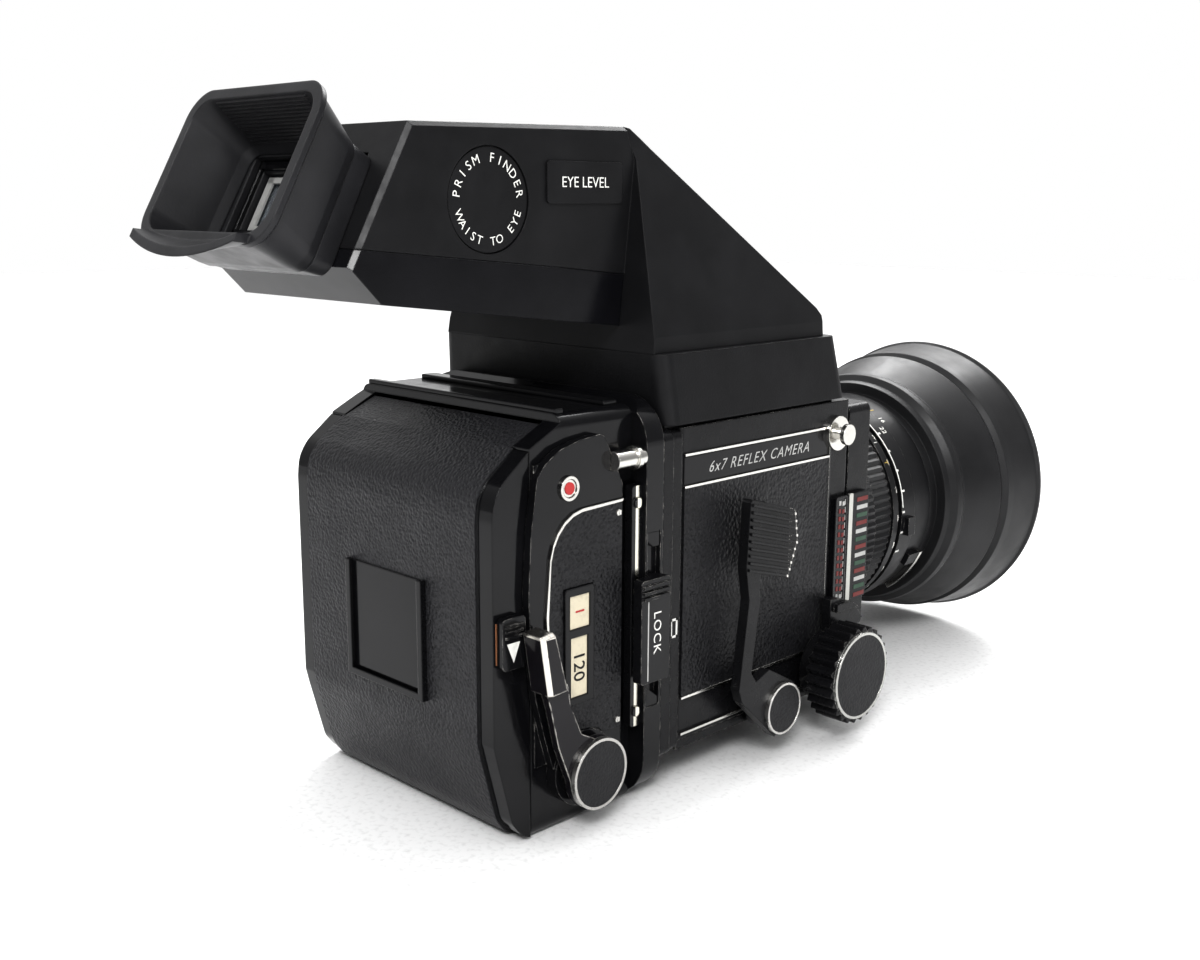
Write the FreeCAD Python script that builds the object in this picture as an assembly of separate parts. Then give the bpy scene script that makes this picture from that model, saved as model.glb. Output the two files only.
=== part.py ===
"""Medium-format single-lens reflex camera with a prism finder, rack focusing and a revolving roll-film back.

Millimetres.  +Z is up and the lens points along -Y.  The origin is the mouth of the tripod socket in the base.
The side with the cocking lever, the distance scale and the film advance is the -X side.
"""
import FreeCAD
import Part
import math
import os

V = FreeCAD.Vector

# ---- driving dimensions -------------------------------------------------------------------------
AXIS_Z = 51.4            # height of the optical axis
CASE_X = 51.2            # half-width of the bare casing
SKIN_X = 52.0            # half-width over leatherette and trims
CASE_FRONT = -48.0
CASE_REAR = 41.0
BASE_T = 3.0             # thickness of the base plate
BODY_TOP = 103.5
SHELF_FRONT = -60.0
SHELF_TOP = 17.8

PLATE_REAR = 50.3        # rear face of the fixed mount plate
ADAPT_FRONT = 50.6       # revolving adapter
ADAPT_REAR = 58.0
ADAPT_X = 53.2
ADAPT_BOTTOM = -11.6
ADAPT_TOP = 113.75
REGISTER_R = 49.5        # ring the adapter turns on
LIGHT_R = 46.5           # round light opening

KNOB_Y = -32.0           # focus shaft
KNOB_Z = 11.5
SHAFT_R = 3.0
GEAR_MODULE = 0.5
GEAR_TEETH = 26
GEAR_R = GEAR_MODULE * GEAR_TEETH / 2
RACK_X = 45.0
RACK_TOP = 25.0

LUG = (-40.0, 92.5)      # strap lugs
MIRROR_PIN = (32.5, 78.4)
BAFFLE_PIN = (37.0, 73.5)

LEVER_Y = 0.0            # cocking lever pivot
LEVER_Z = 6.0
LEVER_SHAFT_R = 2.8

STD_REAR = -48.5         # front standard
STD_FRONT = -61.0
STD_BOTTOM = 18.2
STD_TOP = 101.2
THROAT_R = 32.7          # opening of the lens mount
BELLOWS_Z = 56.0

ARM_X = 33.0             # half-width of the finder arm
FLANGE_Z0 = 104.8
FLANGE_Z1 = 126.1
EYE_POINT = (126.6, 190.4)   # top edge of the tilted rear face of the finder
EYE_TILT = 28.6              # degrees the rear face leans

HOLD_X = 47.0            # roll-film holder
HOLD_BOTTOM = -12.0
HOLD_TOP = 112.0
COVER_PIN = (86.9, -10.6)
HUB = (81.4, 6.6)        # film advance and take-up axis
SUPPLY = (79.5, 95.0)
FORMAT_X = 28.0          # half-width and half-height of the film gate
FORMAT_Z = 34.75


# ---- small helpers ------------------------------------------------------------------------------
def box(x0, x1, y0, y1, z0, z1):
    return Part.makeBox(x1 - x0, y1 - y0, z1 - z0, V(x0, y0, z0))


def cyl_x(r, x0, x1, y, z):
    return Part.makeCylinder(r, x1 - x0, V(x0, y, z), V(1, 0, 0))


def cyl_y(r, y0, y1, x=0.0, z=AXIS_Z):
    return Part.makeCylinder(r, y1 - y0, V(x, y0, z), V(0, 1, 0))


def cyl_z(r, z0, z1, x, y):
    return Part.makeCylinder(r, z1 - z0, V(x, y, z0), V(0, 0, 1))


def ring_x(r_out, r_in, x0, x1, y, z):
    return cyl_x(r_out, x0, x1, y, z).cut(cyl_x(r_in, x0 - 1, x1 + 1, y, z))


def ring_y(r_out, r_in, y0, y1, x=0.0, z=AXIS_Z):
    return cyl_y(r_out, y0, y1, x, z).cut(cyl_y(r_in, y0 - 1, y1 + 1, x, z))


def face_of(points):
    return Part.Face(Part.makePolygon(points + [points[0]]))


def prism_x(yz, x0, x1):
    return face_of([V(x0, y, z) for y, z in yz]).extrude(V(x1 - x0, 0, 0))


def prism_y(xz, y0, y1):
    return face_of([V(x, y0, z) for x, z in xz]).extrude(V(0, y1 - y0, 0))


def fuse(*shapes):
    return shapes[0].multiFuse(list(shapes[1:])).removeSplitter()


def group(shapes):
    return Part.makeCompound(shapes)


def mirrored(shape):
    return shape.mirror(V(0, 0, 0), V(1, 0, 0))


def straight_edges(shape, axis):
    found = []
    for edge in shape.Edges:
        if edge.Curve.TypeId != "Part::GeomLine":
            continue
        along = edge.tangentAt(edge.FirstParameter).dot(axis)
        if abs(abs(along) - 1) < 1e-6:
            found.append(edge)
    return found


def rounded(shape, axis, radius, keep=None):
    edges = straight_edges(shape, axis)
    if keep:
        edges = [e for e in edges if keep(e.CenterOfMass)]
    return shape.makeFillet(radius, edges)


def rounded_box(bounds, axis, radius, keep=None):
    return rounded(box(*bounds), axis, radius, keep)


def turned(profile, holes=()):
    """Solid of revolution about the optical axis from (y, radius) points, less (r, y0, y1) bores."""
    shape = face_of([V(0, y, AXIS_Z + r) for y, r in profile]).revolve(V(0, 0, AXIS_Z), V(0, 1, 0), 360)
    for r, y0, y1 in holes:
        shape = shape.cut(cyl_y(r, y0, y1))
    return shape


def stepped(steps, bore):
    """Turned body of cylinders given as (y0, y1, radius), with one through bore."""
    shape = fuse(*[cyl_y(r, y0, y1) for y0, y1, r in steps])
    lo = min(s[0] for s in steps) - 1
    hi = max(s[1] for s in steps) + 1
    return shape.cut(cyl_y(bore, lo, hi))


def wave_outline(r_out, r_in, count, steps):
    """Closed outline whose radius runs between two values, count times round."""
    points = []
    for i in range(count * steps):
        a = 2 * math.pi * i / (count * steps)
        r = r_in + (r_out - r_in) * (0.5 + 0.5 * math.cos(a * count))
        points.append((r * math.cos(a), r * math.sin(a)))
    return points


def waved_x(r_out, r_in, count, steps, x0, x1, y, z):
    outline = [(y + a, z + b) for a, b in wave_outline(r_out, r_in, count, steps)]
    return prism_x(outline, x0, x1)


def waved_y(r_out, r_in, count, steps, y0, y1):
    outline = [(a, AXIS_Z + b) for a, b in wave_outline(r_out, r_in, count, steps)]
    return prism_y(outline, y0, y1)


def light_opening(y0, y1, half_x, half_z):
    square = box(-half_x, half_x, y0, y1, AXIS_Z - half_z, AXIS_Z + half_z)
    return square.common(cyl_y(LIGHT_R, y0, y1))


def eye_frame(shape):
    """Place a shape drawn with Y out of the finder's rear face and Z up along it."""
    shape = shape.copy()
    shape.rotate(V(0, 0, 0), V(1, 0, 0), EYE_TILT)
    shape.translate(V(0, EYE_POINT[0], EYE_POINT[1]))
    return shape


# ---- body ---------------------------------------------------------------------------------------
def body_casing():
    shell = rounded_box((-CASE_X, CASE_X, CASE_FRONT, CASE_REAR, BASE_T, BODY_TOP), V(0, 0, 1), 1.5)
    shell = shell.cut(box(-42, 42, CASE_FRONT - 1, 39.5, 9, 97))
    shelf = rounded_box((-CASE_X, CASE_X, SHELF_FRONT, CASE_FRONT + 2, BASE_T, SHELF_TOP), V(0, 0, 1), 4,
                        lambda c: c.y < -55)
    shelf = shelf.cut(box(-42, 42, CASE_FRONT, CASE_FRONT + 3, 9, 97))
    shell = fuse(shell, shelf)
    cuts = [
        box(-36, 36, -28, 38, 96, 101.1),
        box(-37.5, 37.5, -29.5, 39.2, 101, 104),
        light_opening(39, 42, 36, 36),
        cyl_x(SHAFT_R + 0.05, -53, 53, KNOB_Y, KNOB_Z),
        cyl_x(1.25, -44.2, 44.2, *BAFFLE_PIN),
        cyl_x(1.52, -43.6, 43.6, *MIRROR_PIN),
        cyl_z(8, 2, 10, 0, 0),
        cyl_x(LEVER_SHAFT_R + 0.05, -53, -44, LEVER_Y, LEVER_Z),
        cyl_y(5.05, -61, -52.5, -40, 9),
    ]
    for side in (-1, 1):
        x0, x1 = sorted((side * 41, side * 47.5))
        cuts.append(box(x0, x1, CASE_FRONT - 1, 24, 17.5, 25.5))
        cuts.append(cyl_x(7.4, x0, x1, KNOB_Y, KNOB_Z))
        x0, x1 = sorted((side * 42.5, side * 47.5))
        cuts.append(box(x0, x1, SHELF_FRONT - 1, CASE_FRONT, 17.2, SHELF_TOP + 1))
    for tool in cuts:
        shell = shell.cut(tool)
    return shell


def base_plate():
    plate = rounded_box((-CASE_X, CASE_X, SHELF_FRONT, CASE_REAR, 0, BASE_T), V(0, 0, 1), 4,
                        lambda c: c.y < 0)
    return plate.cut(cyl_z(12, -1, 4, 0, 0))


def tripod_bush():
    flange = cyl_z(12, 0, BASE_T, 0, 0)
    neck = cyl_z(8, BASE_T, 8.9, 0, 0)
    return fuse(flange, neck).cut(cyl_z(4.05, -1, 8, 0, 0))


def rear_mount_plate():
    inner = rounded_box((-SKIN_X, SKIN_X, CASE_REAR, 45.5, 0, BODY_TOP), V(0, 1, 0), 3)
    neck = rounded_box((-SKIN_X + 1, SKIN_X - 1, 45.5, 45.9, 1, BODY_TOP - 1), V(0, 1, 0), 3)
    outer = rounded_box((-53, 53, 45.9, PLATE_REAR, 0, BODY_TOP), V(0, 1, 0), 3)
    ring = cyl_y(REGISTER_R, PLATE_REAR - 1, PLATE_REAR + 2)
    plate = fuse(inner, neck, outer, ring)
    return plate.cut(light_opening(CASE_REAR - 1, PLATE_REAR + 3, 36, 38))


def side_panels():
    panel = rounded_box((CASE_X, SKIN_X, -35.6, 39.6, 17.4, 84.6), V(1, 0, 0), 1.0)
    return group([panel, mirrored(panel)])


def trim_side():
    bars = [box(-SKIN_X - 0.2, -CASE_X, -35.6, 39.6, z - 0.4, z + 0.4) for z in (95.0, 85.0, 17.0, 5.0)]
    return bars + [box(-SKIN_X - 0.2, -CASE_X, -36.4, -35.6, 4.6, 95.4)]


def chrome_trims():
    one_side = fuse(*trim_side()).cut(cyl_x(6.1, -60, -50, *LUG))
    lever_side = one_side.cut(cyl_x(LEVER_SHAFT_R + 0.4, -60, -50, LEVER_Y, LEVER_Z))
    return group([lever_side, mirrored(one_side)])


def strap_lugs():
    lug = fuse(cyl_x(6, CASE_X, 52.8, *LUG), cyl_x(2.2, 52, 56, *LUG), cyl_x(3.6, 55.4, 57, *LUG))
    return group([lug, mirrored(lug)])


def accessory_shoe():
    base = rounded_box((SKIN_X, 54.2, -10.5, 10.5, 36, 56), V(1, 0, 0), 1)
    rails = [box(54.2, 57.2, s * 9.9 - 0.6, s * 9.9 + 0.6, 36.5, 55.5) for s in (-1, 1)]
    lips = [box(56.2, 57.2, min(s * 6.4, s * 10.5), max(s * 6.4, s * 10.5), 36.5, 55.5) for s in (-1, 1)]
    return fuse(base, *rails, *lips)


def scale_plate():
    plate = rounded_box((-53.4, -CASE_X, -46, -39, 31, 70), V(1, 0, 0), 1)
    return plate.cut(box(-53.6, -53.0, -45.2, -39.8, 31.8, 69.2))


def focusing_screen():
    return box(-37.4, 37.4, -29.4, 39.1, 101.2, 103.3)


def mirror_hinge_pin():
    return cyl_x(1.5, -43.5, 43.5, *MIRROR_PIN)


# ---- reflex mirror ------------------------------------------------------------------------------
def on_mirror(s0, s1, t0, t1, x0, x1):
    """Box in mirror coordinates: s runs down the mirror from its hinge, t is depth behind the silvering."""
    c = math.sqrt(0.5)
    y, z = MIRROR_PIN
    corners = [(s0, t0), (s1, t0), (s1, t1), (s0, t1)]
    return prism_x([(y - s * c + t * c, z - s * c - t * c) for s, t in corners], x0, x1)


def mirror_frame():
    tray = on_mirror(2.1, 70.0, 0.0, 3.5, -34.5, 34.5).cut(on_mirror(3.0, 69.0, -1.0, 2.0, -33.6, 33.6))
    eyes = []
    for x0, x1 in ((-34.5, -28), (28, 34.5)):
        eyes.append(cyl_x(2.9, x0, x1, *MIRROR_PIN))
    frame = fuse(tray, *eyes)
    frame = frame.cut(on_mirror(3.0, 69.0, -1.0, 2.0, -33.6, 33.6))
    return frame.cut(cyl_x(1.56, -40, 40, *MIRROR_PIN))


def mirror_glass():
    return on_mirror(3.2, 68.8, 0.1, 1.9, -33.4, 33.4)


def light_baffle():
    y, z = BAFFLE_PIN
    plate = box(-37, 37, y - 0.9, y + 0.9, 13.5, z)
    return fuse(plate, cyl_x(1.5, -37, 37, y, z), cyl_x(1.2, -44, 44, y, z))


# ---- focusing -----------------------------------------------------------------------------------
def gear_outline():
    tooth = 2 * math.pi / GEAR_TEETH
    root = GEAR_R - 0.5
    tip = GEAR_R + 0.26
    points = []
    for i in range(GEAR_TEETH):
        a = math.pi / 2 + i * tooth
        for r, half in ((root, 0.38), (tip, 0.12)):
            points.append((r, a - half / r))
        for r, half in ((tip, 0.12), (root, 0.38)):
            points.append((r, a + half / r))
    return [(KNOB_Y + r * math.cos(a), KNOB_Z + r * math.sin(a)) for r, a in points]


def focus_shaft():
    gears = [prism_x(gear_outline(), x - 2, x + 2) for x in (-RACK_X, RACK_X)]
    return fuse(cyl_x(SHAFT_R, -62, 62, KNOB_Y, KNOB_Z), *gears)


def focus_racks():
    pitch = math.pi * GEAR_MODULE
    line = KNOB_Z + GEAR_R
    root = line + 0.5
    tip = line - 0.26
    first = math.ceil((STD_REAR + 3 - KNOB_Y) / pitch)
    last = math.floor((20 - KNOB_Y) / pitch)
    outline = [(STD_REAR, root)]
    for i in range(first, last):
        mid = KNOB_Y + (i + 0.5) * pitch
        outline += [(mid - 0.38, root), (mid - 0.12, tip), (mid + 0.12, tip), (mid + 0.38, root)]
    outline += [(22, root), (22, RACK_TOP), (STD_REAR, RACK_TOP)]
    return group([prism_x(outline, x - 2, x + 2) for x in (-RACK_X, RACK_X)])


def focus_knobs():
    grip = waved_x(17.0, 15.4, 26, 8, 60, 70.6, KNOB_Y, KNOB_Z)
    rim = ring_x(15.2, 14.2, 70.6, 71.6, KNOB_Y, KNOB_Z)
    cap = cyl_x(15.2, 70.6, 71.0, KNOB_Y, KNOB_Z)
    stem = cyl_x(8, 52.3, 60, KNOB_Y, KNOB_Z)
    knob = fuse(grip, rim, cap, stem).cut(cyl_x(SHAFT_R, 52, 62, KNOB_Y, KNOB_Z))
    return group([knob, mirrored(knob)])


def focus_lock_lever():
    x0, x1 = -57.6, -54.0
    ring = cyl_x(12, x0, x1, KNOB_Y, KNOB_Z)
    sector = prism_x([(KNOB_Y + 24 * math.cos(a), KNOB_Z + 24 * math.sin(a))
                      for a in [math.radians(d) for d in range(90, 146, 5)]] + [(KNOB_Y, KNOB_Z)], x0, x1)
    tab = box(x0 - 1.6, x0, KNOB_Y - 21, KNOB_Y - 2, KNOB_Z + 19.2, KNOB_Z + 22)
    tab = tab.common(cyl_x(24, x0 - 2, x1, KNOB_Y, KNOB_Z))
    return fuse(ring, sector, tab).cut(cyl_x(8.3, x0 - 2, x1 + 2, KNOB_Y, KNOB_Z))


# ---- front standard and lens --------------------------------------------------------------------
def front_standard():
    block = rounded_box((-51, 51, STD_FRONT, STD_REAR, STD_BOTTOM, STD_TOP), V(0, 1, 0), 3)
    block = block.cut(box(-40.6, 40.6, -50.6, STD_REAR + 1, 19.6, 92.4))
    block = block.cut(cyl_y(46.7, STD_FRONT - 1, -56.9))
    return block.cut(cyl_y(THROAT_R, STD_FRONT - 1, STD_REAR + 1))


def lens_mount():
    ring = ring_y(46.6, THROAT_R, STD_FRONT, -57).cut(box(-50, 50, -62, -56, 0, 18.5))
    for i in range(8):
        a = math.radians(22.5 + 45 * i)
        ring = ring.cut(cyl_y(1.2, STD_FRONT - 1, -60.2, 42 * math.cos(a), AXIS_Z + 42 * math.sin(a)))
    return ring


def distance_scale():
    plate = rounded_box((-53.4, -51.0, -59, -50, 31, 70), V(1, 0, 0), 1)
    strip = box(-53.4, -52.4, -50.2, -46.3, 31, 70)
    return fuse(plate, strip)


def bellows():
    """Pleated tunnel between the casing and the standard, with an end frame at each end."""
    pleats = 5
    y0, y1 = -50.5, -40.5
    step = (y1 - y0) / pleats
    outer = []
    inner = []
    for i in range(pleats):
        outer += [(y0 + i * step, 36.6), (y0 + (i + 0.5) * step, 40.0)]
        inner += [(y0 + i * step, 35.8), (y0 + (i + 0.5) * step, 39.0)]
    outer.append((y1, 36.6))
    inner.append((y1, 35.8))

    def stack(profile, z_less):
        solids = []
        for (ya, wa), (yb, wb) in zip(profile, profile[1:]):
            wires = []
            for y, w in ((ya, wa), (yb, wb)):
                z = w - z_less
                low, high = BELLOWS_Z - z, BELLOWS_Z + z
                pts = [V(-w, y, low), V(w, y, low), V(w, y, high), V(-w, y, high)]
                wires.append(Part.makePolygon(pts + [pts[0]]))
            solids.append(Part.makeLoft(wires, True, True))
        return fuse(*solids)

    skin = stack(outer, 4.0).cut(stack(inner, 4.0))
    frame = box(-42, 42, y1, -39, 16, 97).cut(box(-33, 33, y1 - 1, -38, BELLOWS_Z - 30, BELLOWS_Z + 30))
    front = box(-40, 40, y0, y0 + 0.8, BELLOWS_Z - 36, BELLOWS_Z + 36)
    front = front.cut(box(-35, 35, y0 - 1, y0 + 2, BELLOWS_Z - 31, BELLOWS_Z + 31))
    return fuse(skin, frame, front)


def lens_barrel():
    steps = [(-57, -45.5, 25.5), (-61.1, -57, 32.5), (-72.3, -61.1, 42.6), (-73.5, -72.3, 44.5),
             (-97.6, -73.5, 38.0), (-98.6, -97.6, 41.0), (-108.4, -98.6, 38.0), (-121, -108.4, 41.5)]
    barrel = stepped(steps, 22.0)
    rooms = [(38.5, -122, -117.6), (34.5, -118, -115.5), (27.0, -116, -109), (34.5, -110, -63)]
    for r, y0, y1 in rooms:
        barrel = barrel.cut(cyl_y(r, y0, y1))
    return barrel


def front_lens_group():
    return turned([(-119.5, 0), (-118.6, 18), (-116.4, 33.9), (-115.6, 33.9), (-115.6, 26.8), (-114, 0)])


def rear_lens_group():
    return turned([(-56, 0), (-56, 21.9), (-47.6, 21.9), (-46, 0)])


def iris_shutter_unit():
    """Leaf shutter and iris: a housing ring with a ring of closed-down blades."""
    ring = ring_y(34.3, 26.0, -98, -84)
    plate = ring_y(34.3, 22, -92, -90.5)
    blades = ring_y(26.5, 11, -91.4, -91.0)
    return fuse(ring, plate, blades)


def rubber_hood():
    profile = [(-118, 38.4), (-121.1, 38.4), (-121.1, 41.5), (-126, 41.5), (-126, 45.4), (-128.6, 46.2),
               (-130.5, 48.5), (-133, 48.9),
               (-136, 48.2), (-154, 54.4), (-156, 53.6), (-158, 55.6), (-162, 56.0), (-177, 58.0),
               (-178.2, 59.0), (-180, 58.6), (-180, 56.2), (-162, 53.8), (-158, 53.2), (-154, 51.8),
               (-136, 45.6), (-131, 44.0), (-129, 40.0), (-127, 36.8), (-118, 36.8)]
    return turned(profile)


def lens_lock_ring():
    return waved_y(48.8, 48.1, 120, 4, -72, -61.6).cut(cyl_y(42.9, -73, -60))


def speed_ring():
    ring = stepped([(-77.5, -74, 42.0), (-93.5, -77.5, 41.2), (-97, -93.5, 42.3)], 38.3)
    grip = waved_y(42.4, 41.5, 90, 4, -92, -78.5).cut(cyl_y(38.3, -99, -70))
    return fuse(ring, grip)


def aperture_ring():
    ring = stepped([(-108, -99, 42.6)], 38.3)
    tab = box(-44.6, -41, -105.5, -101, 44, 51)
    return fuse(ring, tab.cut(cyl_y(40, -110, -95)))


# ---- prism finder -------------------------------------------------------------------------------
ROOF = [(50.0, FLANGE_Z1), (-34.8, FLANGE_Z1), (-34.8, 133.0), (-32.5, 135.6), (41.0, 189.3), (44.4, 191.6),
        (47.0, 192.0), (43.4, 182.4)]
TAPER = [(-48, FLANGE_Z1), (48, FLANGE_Z1), (47.6, 131), (33, 186), (31.6, 193), (-31.6, 193), (-33, 186),
         (-47.6, 131)]
SPLIT = [(43.3, 148.6), (74.2, 151.9), (152.1, 159.2)]
ARM = [(43.4, 148.7), (43.4, 137.3), (47.3, 133.3), (136.8, 144.1), (146.5, 153.9), (126.6, 190.4), (47.0, 192.0),
       (43.4, 182.4)]


def finder_base():
    def outline(z, hx, y0, y1, r):
        plate = rounded_box((-hx, hx, y0, y1, z, z + 1), V(0, 0, 1), r)
        face = min(plate.Faces, key=lambda f: f.CenterOfMass.z)
        return face.OuterWire

    flange = Part.makeLoft([outline(FLANGE_Z0, 53, -44, 48, 5), outline(FLANGE_Z1, 51, -39.5, 50, 5)], True, True)
    foot = box(-49, 49, -40, 46, BODY_TOP, FLANGE_Z0)
    lip = box(-26, 26, -45, -40, FLANGE_Z0, 107.5)
    base = fuse(flange, foot, lip)
    return base.cut(box(-39, 39, -31, 40.5, BODY_TOP - 1, FLANGE_Z1 + 1))


def arm_block():
    """Whole rear arm of the finder, with its top and rear side edges bevelled."""
    arm = prism_x(ARM, -ARM_X, ARM_X)
    edges = [e for e in arm.Edges if e.CenterOfMass.y > 60 and e.CenterOfMass.z > 160
             and abs(e.CenterOfMass.x) > ARM_X - 0.01]
    return arm.makeChamfer(1.3, edges)


def finder_housing():
    wedge = prism_x(ROOF, -49, 49).common(prism_y(TAPER, -40, 60))
    below = prism_x([(43.4, 120)] + SPLIT + [(152.1, 120)], -40, 40)
    shell = fuse(wedge, arm_block().cut(below))
    prism_room = prism_x([(-29, 125), (40, 125), (40, 179), (-27.5, 130.4)], -37, 37)
    prism_room = prism_room.common(prism_y([(-44, 125), (44, 125), (30.5, 180), (-30.5, 180)], -40, 60))
    shell = shell.cut(prism_room)
    shell = shell.cut(prism_x([(39, 156), (134, 165), (125, 184.5), (39, 184.5)], -29, 29))
    window = eye_frame(box(-21, 21, -20, 1, -32, -9))
    shell = shell.cut(window)
    for x0, x1 in ((-34, -ARM_X + 1.2), (ARM_X - 1.2, 34)):
        shell = shell.cut(cyl_x(14.5, x0, x1, 100.4, 170.6))
    return shell


def finder_lower_cover():
    line = [(y, z - 0.15) for y, z in SPLIT]
    outer = arm_block().common(prism_x([(43.4, 120)] + line + [(152.1, 120)], -40, 40))
    rear_wedge = prism_x([(50.3, 125), (43.45, 182.4), (40, 182), (40, 125)], -40, 40)
    inner = prism_x([(52, 138), (134.5, 147.5), (141, 154.2), (74.2, 155), (52, 155)], -30, 30)
    return outer.cut(rear_wedge).cut(inner)


def glass_prism():
    body = prism_x([(-28, 127), (39, 127), (39, 176.5), (-26.5, 129.8)], -36, 36)
    return body.common(prism_y([(-43, 125), (43, 125), (29.8, 180), (-29.8, 180)], -40, 60))


def finder_badges():
    plates = []
    for side in (-1, 1):
        x0, x1 = sorted((side * ARM_X, side * (ARM_X + 0.7)))
        plates.append(rounded(box(x0, x1, 49, 79.4, 169.7, 181.6), V(1, 0, 0), 1.2))
        x0, x1 = sorted((side * (ARM_X - 1.2), side * (ARM_X - 0.3)))
        plates.append(cyl_x(14.1, x0, x1, 100.4, 170.6))
    return group(plates)


def soft_wire(points, radius):
    """Closed outline through the given corners, each rounded to the radius."""
    arcs = []
    for i, p in enumerate(points):
        to_last = (points[i - 1] - p).normalize()
        to_next = (points[(i + 1) % len(points)] - p).normalize()
        half = to_last.getAngle(to_next) / 2
        reach = radius / math.tan(half)
        centre = p + (to_last + to_next).normalize() * (radius / math.sin(half))
        arcs.append((p + to_last * reach, centre + (p - centre).normalize() * radius, p + to_next * reach))
    edges = []
    for i, arc in enumerate(arcs):
        edges.append(Part.Arc(*arc).toShape())
        edges.append(Part.LineSegment(arc[2], arcs[(i + 1) % len(arcs)][0]).toShape())
    return Part.Wire(edges)


def eye_wire(d, hx_low, hx_top, v0, v1, radius):
    """Rounded outline parallel to the finder's rear face, at height d above it."""
    corners = [V(-hx_low, d, v0), V(hx_low, d, v0), V(hx_top, d, v1), V(-hx_top, d, v1)]
    return soft_wire(corners, radius)


def lip_wire(d, hx, v_in, v_mid_in, v_out, v_mid_out):
    """Crescent outline of the eyecup's lip at height d above the finder's rear face."""
    inner = Part.Arc(V(-hx, d, v_in), V(0, d, v_mid_in), V(hx, d, v_in)).toShape()
    right = Part.LineSegment(V(hx, d, v_in), V(hx, d, v_out)).toShape()
    outer = Part.Arc(V(hx, d, v_out), V(0, d, v_mid_out), V(-hx, d, v_out)).toShape()
    left = Part.LineSegment(V(-hx, d, v_out), V(-hx, d, v_in)).toShape()
    return Part.Wire([inner, right, outer, left])


def eyepiece_frame():
    sections = [eye_wire(0.15, 26, 24, -44.5, -10, 4), eye_wire(6.0, 26.5, 24, -46, -9.5, 4)]
    plate = Part.makeLoft(sections, True, True)
    plate = plate.cut(box(-20, 20, -1, 8, -34, -16))
    plate = plate.cut(box(-21.6, 21.6, 3, 8, -37, -13))
    return eye_frame(plate)


def eyepiece_lens():
    return eye_frame(box(-19.8, 19.8, -6, -0.4, -31.5, -16.2))


def eyecup():
    outside = [(6.1, 26.6, 24.6, -46.4, -9.4, 5), (9.0, 27.8, 26.2, -46.8, -8.6, 6),
               (24.0, 31.4, 31.0, -47.2, -3.6, 8)]
    inside = [(6.0, 23.8, 22.6, -43.4, -12.6, 4), (9.0, 25.2, 23.8, -44.0, -11.0, 4.5),
              (24.1, 29.2, 28.8, -44.8, -5.8, 6.5)]
    bead = [(21.6, 31.3, 30.8, -47.2, -4.3, 8), (22.4, 32.2, 31.8, -48.0, -3.2, 8.6),
            (24.0, 32.2, 31.8, -48.0, -3.0, 8.6)]
    crescent = [(21.0, 25.0, -43.8, -44.4, -46.4, -47.4), (28.0, 26.0, -46.6, -51.2, -49.0, -54.0)]
    outer, inner, rim = [Part.makeLoft([eye_wire(*w) for w in wires], True, True) for wires in (outside, inside, bead)]
    lip = Part.makeLoft([lip_wire(*w) for w in crescent], True, True)
    return eye_frame(fuse(fuse(outer, rim).cut(inner), lip.cut(inner)))


# ---- hand controls ------------------------------------------------------------------------------
def cocking_lever():
    x0, x1 = -61.8, -58.2
    pad = prism_x([(19.2, 79.9), (-3.9, 73.0), (-5.6, 62.0), (-0.8, 50.4), (20.7, 56.3)], x0, x1)
    pad = rounded(pad, V(1, 0, 0), 1.5)
    ridges = []
    for i in range(11):
        z = 52.6 + i * 2.35
        ridge = [(-1.5, z + 0.2), (18.8, z + 5.9), (18.8, z + 6.8), (-1.5, z + 1.1)]
        ridges.append(prism_x(ridge, x0 - 0.7, x0 + 0.3))
    ridges = [r.common(pad.copy().translated(V(-0.7, 0, 0))) for r in ridges]
    arm = prism_x([(20.7, 58), (13.4, 56.5), (13.4, 44), (16.6, 22), (14, 18.5), (7.2, 21), (-6.7, 13.4),
                   (-7.5, 6), (3.4, -3.3), (20.9, 13), (22.6, 17.5), (18.7, 46.7)], x0, x1)
    hub = fuse(cyl_x(8, -58.3, -52.5, LEVER_Y, LEVER_Z), cyl_x(8.6, x0, x1, LEVER_Y, LEVER_Z))
    shaft = cyl_x(LEVER_SHAFT_R, -58.3, -44.3, LEVER_Y, LEVER_Z)
    return fuse(pad, arm, hub, shaft, *ridges)


def cocking_lever_cap():
    cap = ring_x(8.8, 8.0, -63.2, -61.8, LEVER_Y, LEVER_Z)
    return fuse(cap, cyl_x(8.2, -62.7, -61.8, LEVER_Y, LEVER_Z))


def release_button():
    stem = cyl_y(5.0, -62.8, -56.2, -40, 9)
    head = cyl_y(5.0, -64.0, -62.6, -40, 9).cut(cyl_y(2.0, -65, -63.0, -40, 9))
    return fuse(stem, head)


# ---- revolving adapter --------------------------------------------------------------------------
def revolving_adapter():
    slab = rounded_box((-ADAPT_X, ADAPT_X, ADAPT_FRONT, ADAPT_REAR, ADAPT_BOTTOM, ADAPT_TOP), V(0, 1, 0), 14)
    slab = slab.cut(prism_x([(52.7, ADAPT_TOP), (60, 108.2), (60, 120), (52.7, 120)], -60, 60))
    slab = slab.cut(cyl_y(REGISTER_R + 0.3, ADAPT_FRONT - 1, 52.6))
    slab = slab.cut(light_opening(ADAPT_FRONT - 1, ADAPT_REAR + 1, 36, 40))
    slab = slab.cut(box(-ADAPT_X - 1, -51.3, 51.6, 57.2, 19, 74))
    return slab


def adapter_lock_bar():
    bar = rounded_box((-51.6, -48.6, ADAPT_REAR, 62.4, 13.5, 88.7), V(1, 0, 0), 1.2)
    studs = [cyl_x(1.6, -52.4, -51.6, 60.4, z) for z in (18.5, 83.5)]
    return fuse(bar, *studs)


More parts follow.
